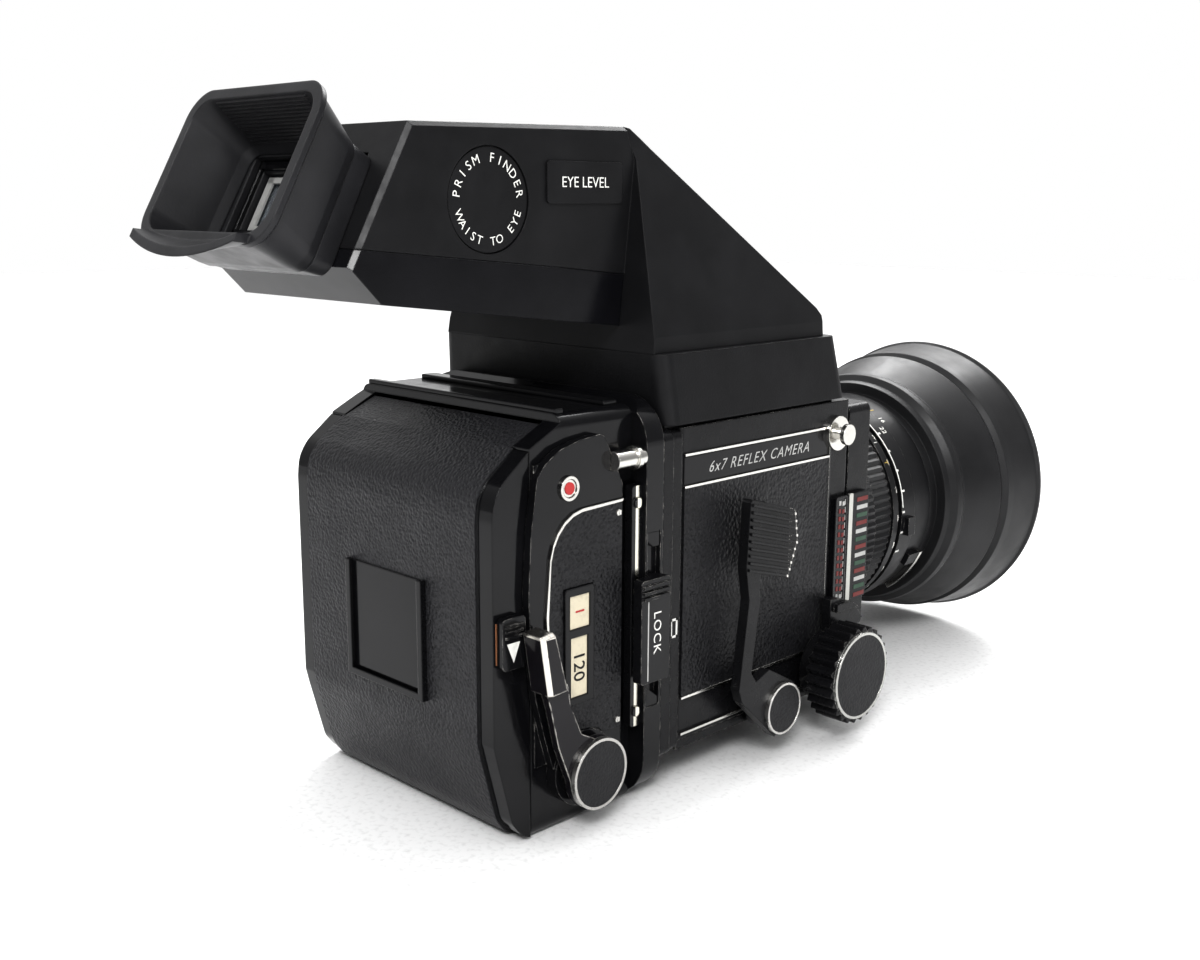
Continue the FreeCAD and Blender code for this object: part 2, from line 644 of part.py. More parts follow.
def holder_lock_slider():
    foot = box(-53.6, -51.7, 52.0, 56.8, 28.6, 60.8)
    grip = rounded_box((-57.0, -53.6, 51.0, 63.6, 28.6, 60.8), V(1, 0, 0), 1.2)
    ribs = [box(-57.8, -56.8, 51.6, 63.0, z, z + 0.9) for z in (54.8, 56.6, 58.4)]
    return fuse(foot, grip, *ribs)


# ---- roll-film holder ---------------------------------------------------------------------------
COVER = [(87.3, 108.4), (98.5, 103.5), (109.2, 95.7), (112.6, 91.0), (113.4, 85.0), (113.4, 20.0), (112.3, 15.0),
         (106.9, -5.1), (103.0, -10.3), (98.0, -12.0), (85.5, -12.0), (85.5, -9.2), (87.3, -9.2)]
COVER_ROOM = [(86.0, 105.6), (97.4, 100.8), (107.2, 93.8), (109.8, 90.0), (110.4, 84.5), (110.4, 20.3), (109.4, 15.6),
              (104.3, -3.8), (101.4, -7.6), (97.5, -9.0), (86.0, -9.0)]
BAND = [(99.3, 103.0), (108.9, 95.5), (112.1, 90.8), (112.8, 84.8), (112.8, 20.2), (111.6, 15.2),
        (106.2, -4.9), (102.4, -9.7), (99.3, -11.0)]


def holder_frame():
    frame = rounded_box((-HOLD_X, HOLD_X, ADAPT_REAR, 99, HOLD_BOTTOM, HOLD_TOP), V(0, 1, 0), 4)
    frame = frame.cut(box(-40, 40, 62, 100, -9.5, 109.5))
    frame = frame.cut(box(-40, 40, 87, 100, 100, 113))
    frame = frame.cut(box(-40, 40, 84.7, 100, -13, -9))
    frame = frame.cut(prism_x([(87, 109.6), (99.5, 103.4), (99.5, 114), (87, 114)], -50, 50))
    posts = []
    for x0, x1 in ((-40.5, -34), (34, 40.5)):
        posts.append(cyl_x(6, x0, x1, *SUPPLY))
    posts.append(cyl_x(5.4, 34, 40.5, *HUB))
    pins = [cyl_x(2.9, -40, -29, *SUPPLY), cyl_x(2.9, 29, 40, *SUPPLY), cyl_x(2.9, 29, 40, *HUB)]
    rollers = [box(-34, 34, 62, 65, z - 2, z + 2) for z in (12.2, 90.6)]
    frame = fuse(frame, *posts, *pins, *rollers)
    frame = frame.cut(box(-FORMAT_X, FORMAT_X, 57, 63, AXIS_Z - FORMAT_Z, AXIS_Z + FORMAT_Z))
    frame = frame.cut(box(-31.5, 48, 58.6, 59.8, 14.0, 88.8))
    frame = frame.cut(cyl_x(3.1, -48, -39, *HUB))
    return frame.cut(cyl_x(1.0, -42.5, 42.5, *COVER_PIN))


def cover_hinge_pin():
    return cyl_x(1.0, -42.5, 42.5, *COVER_PIN)


SIDE_PLATE = [(65, 9), (65, 90), (73, 105.6), (82.5, 104.7), (90.2, 102.8), (95.9, 99.4), (98.9, 95.6),
              (101.2, 80), (102.2, 62.2), (101.6, 50.4), (99.8, 32.2), (96.2, 19), (93, 9)]
INLAY = [(65.6, 15.0), (65.6, 84.6), (82.0, 84.0), (85.6, 83.1), (88.8, 81.2), (91.4, 78.4), (93.2, 75.1),
         (94.2, 71.4), (95.2, 54.9), (94.6, 38.0), (93.2, 24.0), (91.0, 20.5), (84.0, 18.8), (76.0, 17.6), (72.4, 15.0)]
PLUNGER = (-50.8, 97.0)


def holder_side_plate():
    plate = rounded(prism_x(SIDE_PLATE, -50, -HOLD_X - 0.3), V(1, 0, 0), 3.0, lambda c: c.z > 60)
    backing = box(-HOLD_X - 0.5, -HOLD_X, 66, 98, 10, 99)
    plate = fuse(plate, backing, cyl_x(11.6, -51, -HOLD_X, *HUB))
    plate = plate.cut(cyl_y(3.0, 57, 70.1, *PLUNGER))
    return plate.cut(cyl_x(3.1, -52, -46, *HUB))


def grown(points, amount):
    """Points pushed outwards from their common centre."""
    cy = sum(p[0] for p in points) / len(points)
    cz = sum(p[1] for p in points) / len(points)
    out = []
    for y, z in points:
        d = math.hypot(y - cy, z - cz)
        out.append((y + (y - cy) / d * amount, z + (z - cz) / d * amount))
    return out


def window_hole():
    return box(-52, -49, 77.5, 89.5, 27, 62.5)


def holder_inlay():
    hub_room = cyl_x(11.8, -52, -49, *HUB)
    return prism_x(INLAY, -50.6, -50.0).cut(window_hole()).cut(hub_room)


def holder_trim():
    """Silver edging of the inlay, the ring round the index dot and the release plunger."""
    edging = prism_x(INLAY[1:12] + grown(INLAY, 1.0)[11:0:-1], -50.8, -50.0)
    dot = ring_x(3.6, 2.7, -50.9, -50.0, 87, 91.5)
    plunger = fuse(cyl_y(2.9, 58.2, 70, *PLUNGER), cyl_y(3.6, 60.2, 61.8, *PLUNGER))
    return group([edging, dot, plunger])


def indicator_frame():
    frame = rounded_box((-51.3, -50.0, 77.7, 89.3, 27.2, 62.3), V(1, 0, 0), 1)
    frame = frame.cut(box(-52, -50.4, 79.4, 87.5, 50, 60))
    return frame.cut(box(-52, -50.4, 80.2, 87.1, 29.3, 47.5))


def indicator_windows():
    return group([box(-50.9, -50.4, 79.5, 87.4, 50.1, 59.9), box(-50.9, -50.4, 80.3, 87.0, 29.4, 47.4)])


def pressure_plate():
    plate = rounded_box((-28, 28, 62.6, 64.6, 20, 84), V(0, 1, 0), 2)
    stalk = box(-5, 5, 64.6, 110.4, 46, 56)
    return fuse(plate, stalk)


def soft_cover(outline, half_x):
    block = rounded(prism_x(outline, -half_x, half_x), V(1, 0, 0), 12, lambda c: c.y > 105 and c.z > 60)
    return rounded(block, V(1, 0, 0), 7, lambda c: c.y > 101 and c.z < 0)


def holder_cover():
    rear = box(-60, 60, 99.3, 130, -20, 120)
    wide = soft_cover(COVER, 41)
    shell = fuse(soft_cover(COVER, 39.7), wide.common(rear), soft_cover(BAND, HOLD_X))
    shell = shell.cut(prism_x(COVER_ROOM, -38, 38))
    return shell.cut(cyl_x(1.06, -42, 42, *COVER_PIN))


def memo_frame():
    back = box(-18.5, 18.5, 113.4, 113.8, 27, 63.5)
    edges = [box(-18.5, -17.7, 113.4, 115.6, 27, 63.5), box(17.7, 18.5, 113.4, 115.6, 27, 63.5),
             box(-18.5, 18.5, 113.4, 115.6, 27, 27.8)]
    lips = [box(-18.5, -16.4, 115.0, 115.6, 27, 63.5), box(16.4, 18.5, 115.0, 115.6, 27, 63.5),
            box(-18.5, 18.5, 115.0, 115.6, 27, 29.1)]
    return fuse(back, *edges, *lips)


def cover_latch():
    pad = rounded_box((-49.6, -47.3, 103, 111.6, 43, 58), V(1, 0, 0), 1.4)
    ribs = [box(-50.2, -49.2, 104.2, 110.6, z, z + 0.7) for z in (52.2, 53.8, 55.4)]
    return fuse(pad, *ribs)


def advance_lever():
    x0, x1 = -56.6, -54.0
    hub = cyl_x(10.8, x0, x1, *HUB)
    arm = prism_x([(73.5, 12.5), (88.0, 20.5), (92.3, 30.0), (93.5, 37.0), (102.0, 37.0), (100.0, 31.0), (97.0, 18.5),
                   (92.0, 6.0), (86.0, 0.0)], x0, x1)
    pad = prism_x([(105.0, 53.4), (100.3, 54.0), (95.4, 36.0), (102.1, 35.6)], -58.6, -50.7)
    pad = pad.makeChamfer(1.0, [e for e in pad.Edges if e.CenterOfMass.x < -58 and e.CenterOfMass.y > 102])
    shaft = fuse(cyl_x(8.5, x1, -51.4, *HUB), cyl_x(2.9, -52, -29, *HUB))
    return fuse(hub, arm, pad, shaft)


def advance_hub_cap():
    rim = ring_x(10.8, 9.9, -58.2, -56.6, *HUB)
    return fuse(rim, cyl_x(10.1, -57.6, -56.6, *HUB))


def dark_slide():
    sheet = box(-31, 49.5, 58.8, 59.6, 14.4, 88.4)
    handle = rounded_box((49.0, 55.5, 58.4, 61.6, 33, 70), V(0, 1, 0), 2.5)
    return fuse(sheet, handle.cut(box(50.6, 54, 58, 62, 39, 64)))


def film_spool(centre):
    core = cyl_x(6.0, -33, 33, *centre)
    flanges = [cyl_x(12.6, x0, x0 + 1.4, *centre) for x0 in (-33, 31.6)]
    return fuse(core, *flanges).cut(cyl_x(3.0, -34, 34, *centre))


NODES = {
    "body_casing": body_casing,
    "base_plate": base_plate,
    "tripod_bush": tripod_bush,
    "rear_mount_plate": rear_mount_plate,
    "side_panels": side_panels,
    "chrome_trims": chrome_trims,
    "strap_lugs": strap_lugs,
    "accessory_shoe": accessory_shoe,
    "scale_plate": scale_plate,
    "focusing_screen": focusing_screen,
    "mirror_hinge_pin": mirror_hinge_pin,
    "mirror_frame": mirror_frame,
    "mirror_glass": mirror_glass,
    "light_baffle": light_baffle,
    "focus_shaft": focus_shaft,
    "focus_racks": focus_racks,
    "focus_knobs": focus_knobs,
    "focus_lock_lever": focus_lock_lever,
    "front_standard": front_standard,
    "lens_mount": lens_mount,
    "distance_scale": distance_scale,
    "bellows": bellows,
    "lens_barrel": lens_barrel,
    "front_lens_group": front_lens_group,
    "rear_lens_group": rear_lens_group,
    "iris_shutter_unit": iris_shutter_unit,
    "rubber_hood": rubber_hood,
    "lens_lock_ring": lens_lock_ring,
    "speed_ring": speed_ring,
    "aperture_ring": aperture_ring,
    "finder_base": finder_base,
    "finder_housing": finder_housing,
    "finder_lower_cover": finder_lower_cover,
    "glass_prism": glass_prism,
    "finder_badges": finder_badges,
    "eyepiece_frame": eyepiece_frame,
    "eyepiece_lens": eyepiece_lens,
    "eyecup": eyecup,
    "cocking_lever": cocking_lever,
    "cocking_lever_cap": cocking_lever_cap,
    "release_button": release_button,
    "revolving_adapter": revolving_adapter,
    "adapter_lock_bar": adapter_lock_bar,
    "holder_lock_slider": holder_lock_slider,
    "holder_frame": holder_frame,
    "cover_hinge_pin": cover_hinge_pin,
    "holder_side_plate": holder_side_plate,
    "holder_inlay": holder_inlay,
    "holder_trim": holder_trim,
    "indicator_frame": indicator_frame,
    "indicator_windows": indicator_windows,
    "pressure_plate": pressure_plate,
    "holder_cover": holder_cover,
    "memo_frame": memo_frame,
    "cover_latch": cover_latch,
    "advance_lever": advance_lever,
    "advance_hub_cap": advance_hub_cap,
    "dark_slide": dark_slide,
    "take_up_spool": lambda: film_spool(HUB),
    "supply_spool": lambda: film_spool(SUPPLY),
}

os.makedirs("parts", exist_ok=True)
for name, make in NODES.items():
    shape = make()
    print(name, len(shape.Solids), "solids", len(shape.Faces), "faces", shape.isValid(), round(shape.Volume))
    shape.exportStep("parts/" + name + ".step")
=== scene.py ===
"""Looks of the roll-film reflex camera.

Finishes for the CAD nodes, lettering, scales, grain skins, small hardware, the bellows,
floor and light.
"""
import math

import bmesh
import bpy
from mathutils import Matrix, Vector


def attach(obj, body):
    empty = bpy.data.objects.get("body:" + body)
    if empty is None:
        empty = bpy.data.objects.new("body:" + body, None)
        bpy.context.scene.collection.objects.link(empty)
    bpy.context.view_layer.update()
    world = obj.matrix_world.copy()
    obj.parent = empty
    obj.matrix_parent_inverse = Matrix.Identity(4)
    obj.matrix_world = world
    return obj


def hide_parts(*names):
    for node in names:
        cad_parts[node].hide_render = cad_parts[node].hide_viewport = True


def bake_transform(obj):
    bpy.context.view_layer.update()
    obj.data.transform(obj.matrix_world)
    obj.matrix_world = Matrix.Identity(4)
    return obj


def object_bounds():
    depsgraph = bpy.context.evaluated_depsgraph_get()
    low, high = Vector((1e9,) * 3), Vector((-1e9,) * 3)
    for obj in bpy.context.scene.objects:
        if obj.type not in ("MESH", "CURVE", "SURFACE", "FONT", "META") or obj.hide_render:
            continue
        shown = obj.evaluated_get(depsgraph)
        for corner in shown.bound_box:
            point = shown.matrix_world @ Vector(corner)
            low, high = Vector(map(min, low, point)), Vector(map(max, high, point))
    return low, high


MM = 0.001
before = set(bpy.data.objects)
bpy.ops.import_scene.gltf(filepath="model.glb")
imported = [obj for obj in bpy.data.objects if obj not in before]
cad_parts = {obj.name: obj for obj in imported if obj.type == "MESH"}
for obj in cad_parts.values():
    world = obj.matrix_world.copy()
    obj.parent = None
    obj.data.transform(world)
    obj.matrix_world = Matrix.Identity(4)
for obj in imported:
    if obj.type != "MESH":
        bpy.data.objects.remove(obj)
cad_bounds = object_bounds()

# Places and sizes in mm, as in the CAD frame: origin at the tripod socket, +Z up, the lens looks along -Y.
AXIS_Z = 51.4                                   # lens axis
MARK = 0.12                                     # thickness of painted marks
SIDE_X = 51.2                                   # outer face of the casing
BADGE_Y, BADGE_Z = 100.4, 170.6                 # centre of the round finder badge
SPEED_R, SCALE_R, BARREL_R = 42.3, 42.6, 41.5   # lens ring, scale ring and barrel outsides
KNOB_FACE_X, KNOB_Y, KNOB_Z = 71.2, -32, 11.5
INDEX_Y, INDEX_Z = 87, 91.5                     # red index of the film holder
EYE_POINT = Vector((0, 126.6, 190.4))           # top of the eyepiece face
EYE_TILT = math.radians(28.6)

# Scene sizes in metres.
FLOOR_REACH = 3.0
CAMERA_SPOT = Vector((-0.317594, 0.344907, 0.170869))
CAMERA_AIM = Vector((0.6886, -0.6962, -0.2028))
CAMERA_ROLL = math.radians(0.312)


# ---- materials ----------------------------------------------------------------------------------
WORN = (0.62, 0.60, 0.56)
BARE = (0.66, 0.64, 0.60)


class Finish:
    """A node material built step by step."""

    def __init__(self, name, color, rough, metallic=0.0):
        self.mat = bpy.data.materials.new(name)
        self.mat.use_nodes = True
        self.nodes = self.mat.node_tree.nodes
        self.links = self.mat.node_tree.links
        self.bsdf = self.nodes["Principled BSDF"]
        self.bsdf.inputs["Metallic"].default_value = metallic
        self.color = self.rgb(color)
        self.rough = self.value(rough)
        self.metal = None
        self.normal = None
        coords = self.nodes.new("ShaderNodeTexCoord")
        self.place = coords.outputs["Object"]

    def rgb(self, color):
        node = self.nodes.new("ShaderNodeRGB")
        node.outputs[0].default_value = (*color, 1.0)
        return node.outputs[0]

    def value(self, number):
        node = self.nodes.new("ShaderNodeValue")
        node.outputs[0].default_value = number
        return node.outputs[0]

    def math(self, kind, a, b=None):
        node = self.nodes.new("ShaderNodeMath")
        node.operation = kind
        for socket, item in zip(node.inputs, (a, b)):
            if item is None:
                continue
            if isinstance(item, (int, float)):
                socket.default_value = item
            else:
                self.links.new(item, socket)
        return node.outputs[0]

    def noise(self, scale, detail=3.0, stretch=(1, 1, 1)):
        mapping = self.nodes.new("ShaderNodeMapping")
        mapping.inputs["Scale"].default_value = stretch
        self.links.new(self.place, mapping.inputs["Vector"])
        node = self.nodes.new("ShaderNodeTexNoise")
        node.inputs["Scale"].default_value = scale
        node.inputs["Detail"].default_value = detail
        self.links.new(mapping.outputs[0], node.inputs["Vector"])
        return node.outputs["Fac"]

    def cells(self, scale):
        node = self.nodes.new("ShaderNodeTexVoronoi")
        node.feature = "SMOOTH_F1"
        node.inputs["Scale"].default_value = scale
        self.links.new(self.place, node.inputs["Vector"])
        return node.outputs["Distance"]

    def ramp(self, fac, low, high):
        node = self.nodes.new("ShaderNodeMapRange")
        node.inputs["From Min"].default_value = low
        node.inputs["From Max"].default_value = high
        self.links.new(fac, node.inputs["Value"])
        return node.outputs[0]

    def mix_color(self, fac, other):
        node = self.nodes.new("ShaderNodeMix")
        node.data_type = "RGBA"
        self.links.new(fac, node.inputs[0])
        self.links.new(self.color, node.inputs[6])
        self.links.new(self.rgb(other), node.inputs[7])
        self.color = node.outputs[2]

    def mix_rough(self, fac, other):
        node = self.nodes.new("ShaderNodeMix")
        self.links.new(fac, node.inputs[0])
        self.links.new(self.rough, node.inputs[2])
        node.inputs[3].default_value = other
        self.rough = node.outputs[0]

    def bump(self, height, distance):
        node = self.nodes.new("ShaderNodeBump")
        node.inputs["Distance"].default_value = distance
        node.inputs["Strength"].default_value = 1.0
        self.links.new(height, node.inputs["Height"])
        if self.normal is not None:
            self.links.new(self.normal, node.inputs["Normal"])
        self.normal = node.outputs[0]

    def round_edges(self, radius):
        node = self.nodes.new("ShaderNodeBevel")
        node.samples = 4
        node.inputs["Radius"].default_value = radius
        self.normal = node.outputs[0]

    def edge_mask(self, radius, low, high):
        """1 on worn edges: where the rounded normal leaves the true one."""
        bevel = self.nodes.new("ShaderNodeBevel")
        bevel.samples = 6
        bevel.inputs["Radius"].default_value = radius
        geometry = self.nodes.new("ShaderNodeNewGeometry")
        dot = self.nodes.new("ShaderNodeVectorMath")
        dot.operation = "DOT_PRODUCT"
        self.links.new(bevel.outputs[0], dot.inputs[0])
        self.links.new(geometry.outputs["Normal"], dot.inputs[1])
        bare = self.math("SUBTRACT", 1.0, dot.outputs["Value"])
        patchy = self.math("MULTIPLY", bare, self.ramp(self.noise(420, 4), 0.35, 0.62))
        return self.ramp(patchy, low, high)

    def wear(self, radius, low, high):
        """Dull metal along the worn edges."""
        mask = self.edge_mask(radius, low, high)
        self.mix_color(mask, WORN)
        self.mix_rough(mask, 0.28)
        self.metal = mask

    def band(self, axis, low, high, both_sides=False):
        """1 where the object coordinate lies between two values."""
        split = self.nodes.new("ShaderNodeSeparateXYZ")
        self.links.new(self.place, split.inputs[0])
        value = split.outputs[axis]
        if both_sides:
            value = self.math("ABSOLUTE", value)
        above = self.math("GREATER_THAN", value, low)
        return self.math("MULTIPLY", above, self.math("LESS_THAN", value, high))

    def beyond(self, factors, limit):
        """1 where factors . position is over the limit."""
        dot = self.nodes.new("ShaderNodeVectorMath")
        dot.operation = "DOT_PRODUCT"
        dot.inputs[1].default_value = factors
        self.links.new(self.place, dot.inputs[0])
        return self.math("GREATER_THAN", dot.outputs["Value"], limit)

    def expose(self, mask, color, rough):
        """Bare metal where the mask is 1."""
        self.mix_color(mask, color)
        self.mix_rough(mask, rough)
        self.metal = mask if self.metal is None else self.math("MAXIMUM", self.metal, mask)

    def done(self):
        self.links.new(self.color, self.bsdf.inputs["Base Color"])
        self.links.new(self.rough, self.bsdf.inputs["Roughness"])
        if self.metal is not None:
            self.links.new(self.metal, self.bsdf.inputs["Metallic"])
        if self.normal is not None:
            self.links.new(self.normal, self.bsdf.inputs["Normal"])
        return self.mat


def enamel(name, color, rough, grain=0.00003, scale=1800, edges=0.0005, coat=0.0):
    """Black lacquer with soft edges, left open so that wear can be added before done()."""
    f = Finish(name, color, rough)
    f.round_edges(edges)
    f.mix_color(f.ramp(f.noise(60, 5), 0.40, 0.80), tuple(c * 1.4 + 0.002 for c in color))
    f.mix_rough(f.ramp(f.noise(220, 4), 0.3, 0.7), rough + 0.10)
    if grain:
        f.bump(f.noise(scale, 2), grain)
    f.bsdf.inputs["Specular IOR Level"].default_value = 0.26
    f.bsdf.inputs["Coat Weight"].default_value = coat
    f.bsdf.inputs["Coat Roughness"].default_value = 0.05
    return f


def worn_enamel(name, color, rough, low, high, edges=0.0006, coat=0.0):
    f = enamel(name, color, rough, grain=0.00001, edges=edges, coat=coat)
    f.wear(edges * 1.3, low, high)
    return f.done()


def leather(name, color, cell, depth, rough=0.48):
    """Embossed grain with its raised tops painted lighter, a painted highlight: cell sets how many cells there
    are to a metre, and depth sets their relief in metres.
    """
    f = Finish(name, color, rough)
    grain = f.math("ADD", f.cells(cell), f.math("MULTIPLY", f.noise(cell * 2.2, 2), 0.35))
    # painted highlight: the raised tops of the grain are coloured lighter
    f.mix_color(f.ramp(grain, 0.30, 0.62), tuple(c * 1.9 + 0.002 for c in color))
    f.mix_rough(f.ramp(f.noise(90, 4), 0.35, 0.7), rough + 0.1)
    f.bump(grain, depth)
    f.bsdf.inputs["Specular IOR Level"].default_value = 0.36
    return f.done()


def metal(name, color, rough, stretch=(1, 1, 1), grain=0.0, edges=0.0003):
    f = Finish(name, color, rough, 1.0)
    f.round_edges(edges)
    f.mix_rough(f.ramp(f.noise(300, 3, stretch), 0.35, 0.7), rough + 0.10)
    f.mix_color(f.ramp(f.noise(70, 3), 0.45, 0.85), tuple(c * 0.86 for c in color))
    if grain:
        f.bump(f.noise(1500, 2, stretch), grain)
    return f.done()


def rubber(name, color, rough):
    """Moulded rubber with a faint bloom."""
    f = Finish(name, color, rough)
    f.round_edges(0.0007)
    f.mix_color(f.ramp(f.noise(45, 5), 0.4, 0.75), tuple(c * 1.4 + 0.004 for c in color))
    f.mix_rough(f.ramp(f.noise(130, 4), 0.35, 0.7), rough + 0.10)
    f.bump(f.noise(1300, 3), 0.00002)
    f.bsdf.inputs["Specular IOR Level"].default_value = 0.32
    return f.done()


def glass(name, tint, rough=0.02):
    f = Finish(name, tint, rough)
    f.mix_rough(f.ramp(f.noise(60, 3), 0.45, 0.9), rough + 0.03)
    f.bsdf.inputs["Transmission Weight"].default_value = 0.85
    f.bsdf.inputs["IOR"].default_value = 1.52
    f.bsdf.inputs["Coat Weight"].default_value = 0.4
    return f.done()


def paint(name, color, rough=0.45):
    f = Finish(name, color, rough)
    f.mix_color(f.ramp(f.noise(500, 3), 0.5, 0.85), tuple(c * 0.8 for c in color))
    f.mix_rough(f.ramp(f.noise(300, 2), 0.3, 0.7), rough + 0.1)
    return f.done()


def knob_finish():
    """Black knob with a bright turned rim on its outer face."""
    f = enamel("knob_black", (0.006, 0.006, 0.007), 0.22)
    f.wear(0.0006, 0.30, 0.55)
    f.expose(f.band("X", 0.07062, 0.08, both_sides=True), (0.50, 0.50, 0.48), 0.25)
    return f.done()


def cap_finish():
    """Silver rim whose recessed disc is covered by a skin."""
    f = Finish("cap_silver", (0.62, 0.61, 0.59), 0.24, 1.0)
    f.round_edges(0.0003)
    f.mix_rough(f.ramp(f.noise(260, 4), 0.4, 0.7), 0.42)
    f.mix_color(f.band("X", -0.0585, -0.0577), (0.55, 0.54, 0.52))
    return f.done()


def distance_finish():
    """Black scale bar with a bright line along it."""
    f = enamel("distance_black", (0.006, 0.006, 0.007), 0.25)
    f.mix_color(f.band("Y", -0.0493, -0.0469), (0.50, 0.50, 0.47))
    return f.done()


def patchy(f, mask, low=0.30, high=0.52):
    """The mask broken up by fine noise."""
    return f.math("MULTIPLY", mask, f.ramp(f.noise(330, 4), low, high))


def advance_finish():
    """Black lacquer worn through along the thumb ridge and the top edge of the pad."""
    f = enamel("advance_lacquer", (0.006, 0.005, 0.007), 0.12, 0.0, edges=0.0006, coat=0.2)
    ridge = f.math("MULTIPLY", f.beyond((0, 1, -0.163), 0.09505), f.beyond((-1, 0, 0), 0.05745))
    top = f.math("MULTIPLY", f.beyond((0, 0, 1), 0.05245), f.beyond((-1, 0, 0), 0.0512))
    pad = f.math("MULTIPLY", f.math("MAXIMUM", ridge, top), f.beyond((0, 0, 1), 0.0352))
    f.expose(patchy(f, pad, 0.24, 0.40), (0.78, 0.75, 0.70), 0.26)
    f.expose(f.edge_mask(0.0009, 0.030, 0.10), BARE, 0.28)
    return f.done()


def cocking_finish():
    """Black lacquer, rubbed only along the lens side of the thumb pad."""
    f = enamel("cocking_lacquer", (0.007, 0.007, 0.008), 0.24, 0.0, edges=0.0004)
    side = f.math("MULTIPLY", f.beyond((0, -1, 0), 0.00085), f.beyond((0, 0, 1), 0.0505))
    f.expose(f.math("MULTIPLY", side, f.edge_mask(0.0007, 0.03, 0.12)), BARE, 0.3)
    return f.done()


def trim_finish():
    """Chrome lines along the side; their upright end is lacquered black."""
    f = Finish("trim_lines", (0.010, 0.010, 0.011), 0.3)
    f.round_edges(0.0002)
    line = f.band("Y", -0.03562, 0.0397)
    f.mix_rough(f.ramp(f.noise(200, 3), 0.3, 0.7), 0.38)
    f.expose(patchy(f, line, 0.16, 0.30), (0.70, 0.69, 0.66), 0.22)
    return f.done()


def bar_finish():
    """Black lock bar whose outer face is a bright line."""
    f = Finish("lock_bar", (0.006, 0.006, 0.007), 0.2)
    f.round_edges(0.0004)
    f.mix_rough(f.ramp(f.noise(200, 3), 0.3, 0.7), 0.3)
    line = f.math("MULTIPLY", f.band("Y", 0.0593, 0.0609), f.beyond((-1, 0, 0), 0.0514))
    f.expose(line, (0.78, 0.76, 0.68), 0.2)
    return f.done()


MATS = {
    "finder": enamel("finder_enamel", (0.0085, 0.0085, 0.0095), 0.34, 0.00001, 2600).done(),
    "finder_low": enamel("finder_low_enamel", (0.0045, 0.0045, 0.0060), 0.15, 0.00001, 2400).done(),
    "wrinkle": enamel("wrinkle_enamel", (0.0065, 0.0065, 0.0075), 0.40, 0.00005, 1500).done(),
    "casing": worn_enamel("casing_enamel", (0.006, 0.006, 0.007), 0.22, 0.26, 0.55),
    "gloss": enamel("gloss_enamel", (0.0045, 0.0045, 0.0055), 0.10, 0.0, edges=0.0007, coat=0.15).done(),
    "rubbed": worn_enamel("rubbed_enamel", (0.005, 0.005, 0.006), 0.11, 0.24, 0.42, 0.0006, 0.15),
    "advance": advance_finish(),
    "cocking": cocking_finish(),
    "trim_lines": trim_finish(),
    "lock_bar": bar_finish(),
    "lens_black": worn_enamel("lens_anodised", (0.006, 0.006, 0.007), 0.28, 0.20, 0.45, 0.0004),
    "matt": enamel("matt_black", (0.006, 0.006, 0.007), 0.75, 0.00002, 900).done(),
    "leather": leather("leatherette", (0.006, 0.006, 0.007), 900, 0.00045, 0.36),
    "leather_back": leather("leatherette_back", (0.012, 0.012, 0.0135), 1050, 0.00042, 0.38),
    "leather_disc": leather("leatherette_disc", (0.009, 0.009, 0.010), 1300, 0.00022),
    "cloth": leather("bellows_cloth", (0.008, 0.008, 0.008), 1600, 0.00008),
    "chrome": metal("satin_chrome", (0.66, 0.65, 0.62), 0.17),
    "steel": metal("ground_steel", (0.55, 0.55, 0.54), 0.34, (1, 14, 14), 0.00001),
    "brass": metal("milled_brass", (0.62, 0.46, 0.20), 0.30, (1, 12, 1), 0.00001),
    "copper": metal("copper_strip", (0.62, 0.30, 0.16), 0.32),
    "mirror": metal("mirror_coat", (0.90, 0.91, 0.92), 0.02, edges=0.0001),
    "rubber": rubber("hood_rubber", (0.014, 0.014, 0.015), 0.34),
    # the rubber's own colour, made a little lighter than the hood's as painted light on the lit inner wall of
    # the cup
    "eyecup": rubber("eyecup_rubber_painted_light", (0.017, 0.017, 0.019), 0.32),
    "glass": glass("coated_glass", (0.80, 0.86, 0.92)),
    "screen": glass("ground_glass", (0.86, 0.88, 0.86), 0.5),
    "white": paint("white_fill", (0.72, 0.72, 0.69)),
    "cream": paint("cream_disc", (0.60, 0.55, 0.43)),
    "red": paint("red_fill", (0.42, 0.035, 0.035)),
    "dull_red": paint("dull_red_fill", (0.16, 0.022, 0.020)),
    "green": paint("green_fill", (0.030, 0.075, 0.045)),
    "gold": paint("gold_fill", (0.52, 0.38, 0.09)),
    "silver": paint("silver_fill", (0.42, 0.42, 0.41), 0.35),
    "moulded": enamel("moulded_plastic", (0.012, 0.012, 0.012), 0.5).done(),
    "knob": knob_finish(),
    "cap": cap_finish(),
    "distance": distance_finish(),
}

